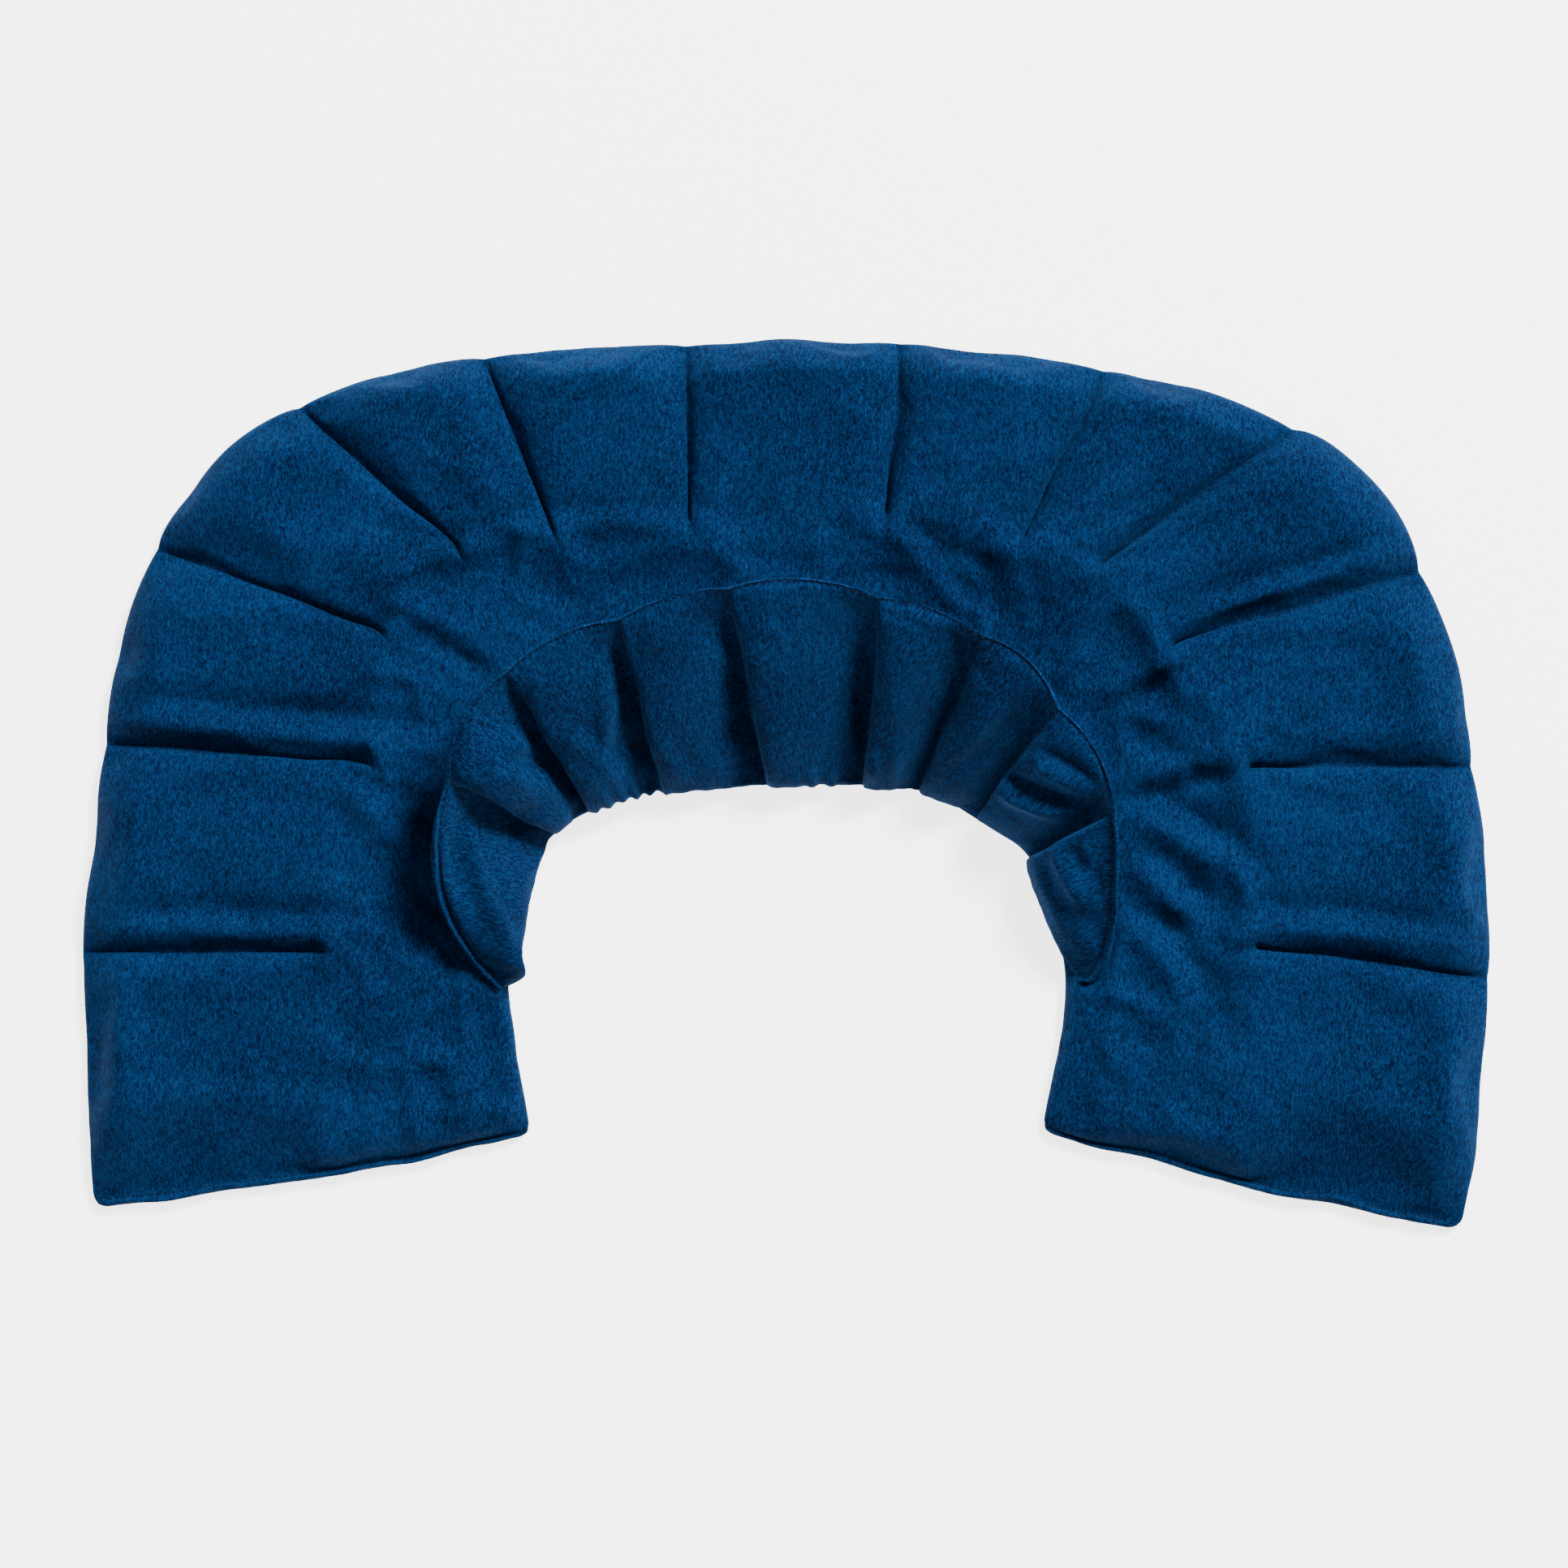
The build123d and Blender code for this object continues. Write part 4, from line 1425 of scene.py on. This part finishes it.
    def gathers(self, sewn: Sewn, out: np.ndarray) -> None:
        """Adds the small gathers along the foot, the rim's waves, the pillows' unevenness and the folds.

        Args:
            sewn: the finished cloth.
            out: the way to the neck at each point.
        """
        grain = np.zeros((len(sewn.points), 2))
        grain[sewn.faces.ravel()] = sewn.grain.reshape(-1, 2)
        reach, height = grain[:, 0], grain[:, 1]
        beside_foot = grain * [1.0, 0.0] + 0.01
        phase = 2 * math.pi * reach / self.gather_pitch
        wander = 3.4 * soft_noise(beside_foot, 24 * MM, 21)
        pillow = np.interp(reach, self.stretch[1], self.stretch[0])
        strength = 0.10 + 0.12 * soft_noise(beside_foot, 14 * MM, 22)
        for first, last in self.gathered:
            strength += 0.9 * smooth_step((pillow - first) / 0.2) * smooth_step((last - pillow) / 0.2)
        fade = np.exp(-((height / self.gather_height) ** 1.5))
        ripple = self.gather * np.sin(phase + wander) * strength * fade
        bump = 1.1 * MM * soft_noise(grain, 17 * MM, 23) + 0.45 * MM * soft_noise(grain, 8 * MM, 24)
        bump *= smooth_step(sewn.slack) * np.abs(sewn.side)
        stitched = np.interp(reach, *self.slant) - np.interp(reach, self.slant[0], self.rolled)
        rolled = smooth_step((height - stitched) / (1.5 * MM))
        bump += rolled * 0.6 * MM * soft_noise(grain, 9 * MM, 25)
        shift = ripple * np.where(sewn.side < -0.5, 0.3, 1.0) + bump * sewn.side
        sewn.points += out * shift[:, None]
        for fold in COLLAR_FOLDS:
            lift = self.laid(fold).height(grain, 1.0) * smooth_step(sewn.side) * smooth_step(sewn.slack)
            sewn.points += out * lift[:, None]

    def laid(self, fold: Fold) -> Fold:
        """Turns a fold's places, given as pillow number and share of the height, into cloth places.

        Args:
            fold: the fold.

        Returns:
            The same fold in metres of cloth.
        """
        ends = []
        for pillow, share in (fold.start, fold.end):
            reach = float(np.interp(pillow, *self.stretch))
            ends.append((reach, share * float(np.interp(reach, *self.slant))))
        return Fold(ends[0], ends[1], fold.width, fold.lift, fold.bow * self.unit, fold.valley)

    def dress(self, plush: bpy.types.Material, stitches: Stitches) -> None:
        """Makes the filled collar and sews it.

        Args:
            plush: the collar's finish.
            stitches: the stitches to sew it with.
        """
        quilt, seams, out = self.quilt()
        middle = (quilt.top + quilt.under) / 2
        quilt.inflate(pressure=3.0, ease=0.015, reach=3.5 * MM)
        self.settle(quilt, middle, out, seams)
        creased = quilt.sewn & ~quilt.edge
        sewn = quilt.finished(creased, 1.0)
        rows, columns = quilt.sewn.shape
        near_row = np.clip(np.round(sewn.row).astype(int), 0, rows - 1)
        near_column = np.clip(np.round(sewn.station).astype(int), 0, columns - 1)
        self.gathers(sewn, out[near_row, near_column])
        cloth = sewn.part("collar_pillows", -1.0, float(columns), plush)
        charges = [f"collar_charge_{number}" for number in range(1, 10)]
        faces = [f"collar_{layer}_{place}" for layer in ("face", "lining") for place in PLACES]
        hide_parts(*charges, *faces)
        self.tip_with(cloth)
        self.sew(quilt, out, seams, stitches)

    def sew(self, quilt: Quilt, out: np.ndarray, seams: list[int], stitches: Stitches) -> None:
        """Sews the pillows' seams and the rim, on both sides.

        Args:
            quilt: the filled cloth.
            out: the way to the neck at each point.
            seams: the columns where a seam lies.
            stitches: the stitches to sew it with.
        """
        seam_lines = []
        for column in seams:
            seam_lines.append((quilt.top[1:self.rows + 1, column], out[1:self.rows + 1, column]))
            seam_lines.append((quilt.under[1:self.rows + 1, column], -out[1:self.rows + 1, column]))
        rim_lines = [(quilt.top[self.rows, 2:-2], out[self.rows, 2:-2]),
                     (quilt.under[self.rows, 2:-2], -out[self.rows, 2:-2])]
        for name, lines, node in (("stitches_collar_seams", seam_lines, "collar_quilting_threads"),
                                  ("stitches_collar_rim", rim_lines, "collar_rim_thread")):
            piece = stitches.sew(name, lines)
            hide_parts(*[f"{node}_{place}" for place in PLACES])
            self.tip_with(piece)

    def tip_with(self, piece: bpy.types.Object) -> None:
        """Bakes the piece's transform into its points.

        Args:
            piece: the piece.
        """
        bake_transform(piece)


# Folds of the collar's neck side: start and end as pillow number and share of the height
COLLAR_FOLDS = (
    Fold((0.20, 0.40), (0.95, 0.75), 4.0, 2.8, 0.0, 0.9),
    Fold((1.15, 0.85), (1.70, 0.22), 4.5, 2.2, 0.01, 0.8),
    Fold((1.50, 0.80), (1.95, 0.45), 3.8, 2.2, 0.0, 0.9),
    Fold((2.82, 0.88), (2.42, 0.28), 4.5, 3.2, 0.01, 1.0),
    Fold((2.20, 0.62), (2.62, 0.12), 4.0, 1.5, 0.0, 0.8),
    Fold((3.12, 0.42), (3.30, 0.08), 3.5, 1.2, 0.0, 0.8),
    Fold((4.78, 0.42), (4.96, 0.06), 4.0, 1.7, 0.0, 0.8),
    Fold((4.12, 0.90), (4.40, 0.70), 3.5, 1.0, 0.0, 0.7),
    Fold((5.10, 0.34), (5.26, 0.06), 3.5, 1.3, 0.0, 0.8),
    Fold((6.50, 0.84), (6.12, 0.22), 4.5, 2.8, 0.01, 0.9),
    Fold((7.02, 0.36), (7.95, 0.70), 4.5, 4.2, -0.005, 1.0),
    Fold((7.10, 0.66), (7.85, 0.90), 4.0, 2.8, 0.0, 0.9),
    Fold((8.05, 0.50), (8.60, 0.88), 4.0, 3.0, 0.0, 0.9),
    Fold((8.10, 0.25), (8.70, 0.50), 4.0, 1.0, 0.0, 0.7),
)


# ---------------------------------------------------------------- studio


@dataclass
class Studio:
    """A white sweep, soft lights and a camera straight above."""

    floor_side: float = 60.0
    camera_height: float = 2.5
    view_width: float = 0.668
    sensor: float = 36.0
    room_light: float = 0.10
    # Each lamp's name, place, side and power
    lamps: tuple[tuple[str, Place, float, float], ...] = (
        ("key", (3.05, 4.05, 4.70), 1.8, 1500.0),
        ("overhead", (-1.1, 0.1, 2.2), 1.6, 15.0),
        ("fill", (-1.6, -1.3, 1.6), 1.8, 5.0),
    )

    def build(self) -> None:
        """Makes the floor, the lights and the camera."""
        self.floor()
        for lamp in self.lamps:
            self.light(*lamp)
        self.camera()
        world = bpy.data.worlds.new("white_room")
        bpy.context.scene.world = world
        world.use_nodes = True
        background = world.node_tree.nodes["Background"]
        background.inputs["Color"].default_value = WHITE
        background.inputs["Strength"].default_value = self.room_light

    def floor(self) -> None:
        """Lays the sweep just under the wrap."""
        deselect_all()
        bpy.ops.mesh.primitive_plane_add(size=self.floor_side, location=(0.0, 0.0, -0.2 * MM))
        floor = bpy.context.object
        floor.name = "sweep"
        bpy.ops.object.transform_apply(location=True, rotation=True, scale=True)
        floor.data.materials.append(FloorFinish().make())
        floor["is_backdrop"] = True

    def light(self, name: str, place: Place, size: float, power: float) -> None:
        """Hangs a square soft light that faces the wrap.

        Args:
            name: the lamp's name.
            place: where it hangs.
            size: its side, in metres.
            power: its power, in watts.
        """
        data = bpy.data.lights.new(name, "AREA")
        data.size = size
        data.energy = power
        lamp = bpy.data.objects.new(name, data)
        lamp.location = place
        lamp.rotation_euler = Vector(place).to_track_quat("Z", "Y").to_euler()
        bpy.context.scene.collection.objects.link(lamp)

    def camera(self) -> None:
        """Hangs the camera over the middle, looking straight down, with the back edge upwards."""
        data = bpy.data.cameras.new("camera")
        data.sensor_width = self.sensor
        data.lens = self.sensor * self.camera_height / self.view_width
        camera = bpy.data.objects.new("camera", data)
        camera.location = (0.0, 0.0, self.camera_height)
        bpy.context.scene.collection.objects.link(camera)
        bpy.context.scene.camera = camera


def main() -> None:
    """Builds the wrap and its studio."""
    logging.basicConfig(level=logging.INFO, format="%(name)s: %(message)s")
    cad_box = [list(corner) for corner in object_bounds()]
    half_width = cad_box[1][0]
    rim_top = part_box("collar_face_back")[1][2]
    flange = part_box("neckline_thread")[0][2]
    stitches = Stitches(ThreadFinish().make())
    body_plush = PlushFinish("navy_plush", Lay.OBJECT).make()
    # The collar's plush is combed along the collar, and its depth, a shade above the body's, darkens its
    # colour: partly the pile laid another way, partly painted shade for the collar's neck face leaning away
    # from the key light.
    collar_plush = PlushFinish("navy_plush_collar", Lay.CLOTH, turn=math.radians(75.0), depth=1.155).make()
    ShoulderPad(unit=half_width, rest_height=flange).dress(body_plush, stitches)
    Collar(unit=half_width, foot_height=flange + 0.5 * MM, top_height=rim_top).dress(collar_plush, stitches)
    Studio().build()


if __name__ == "__main__":
    main()
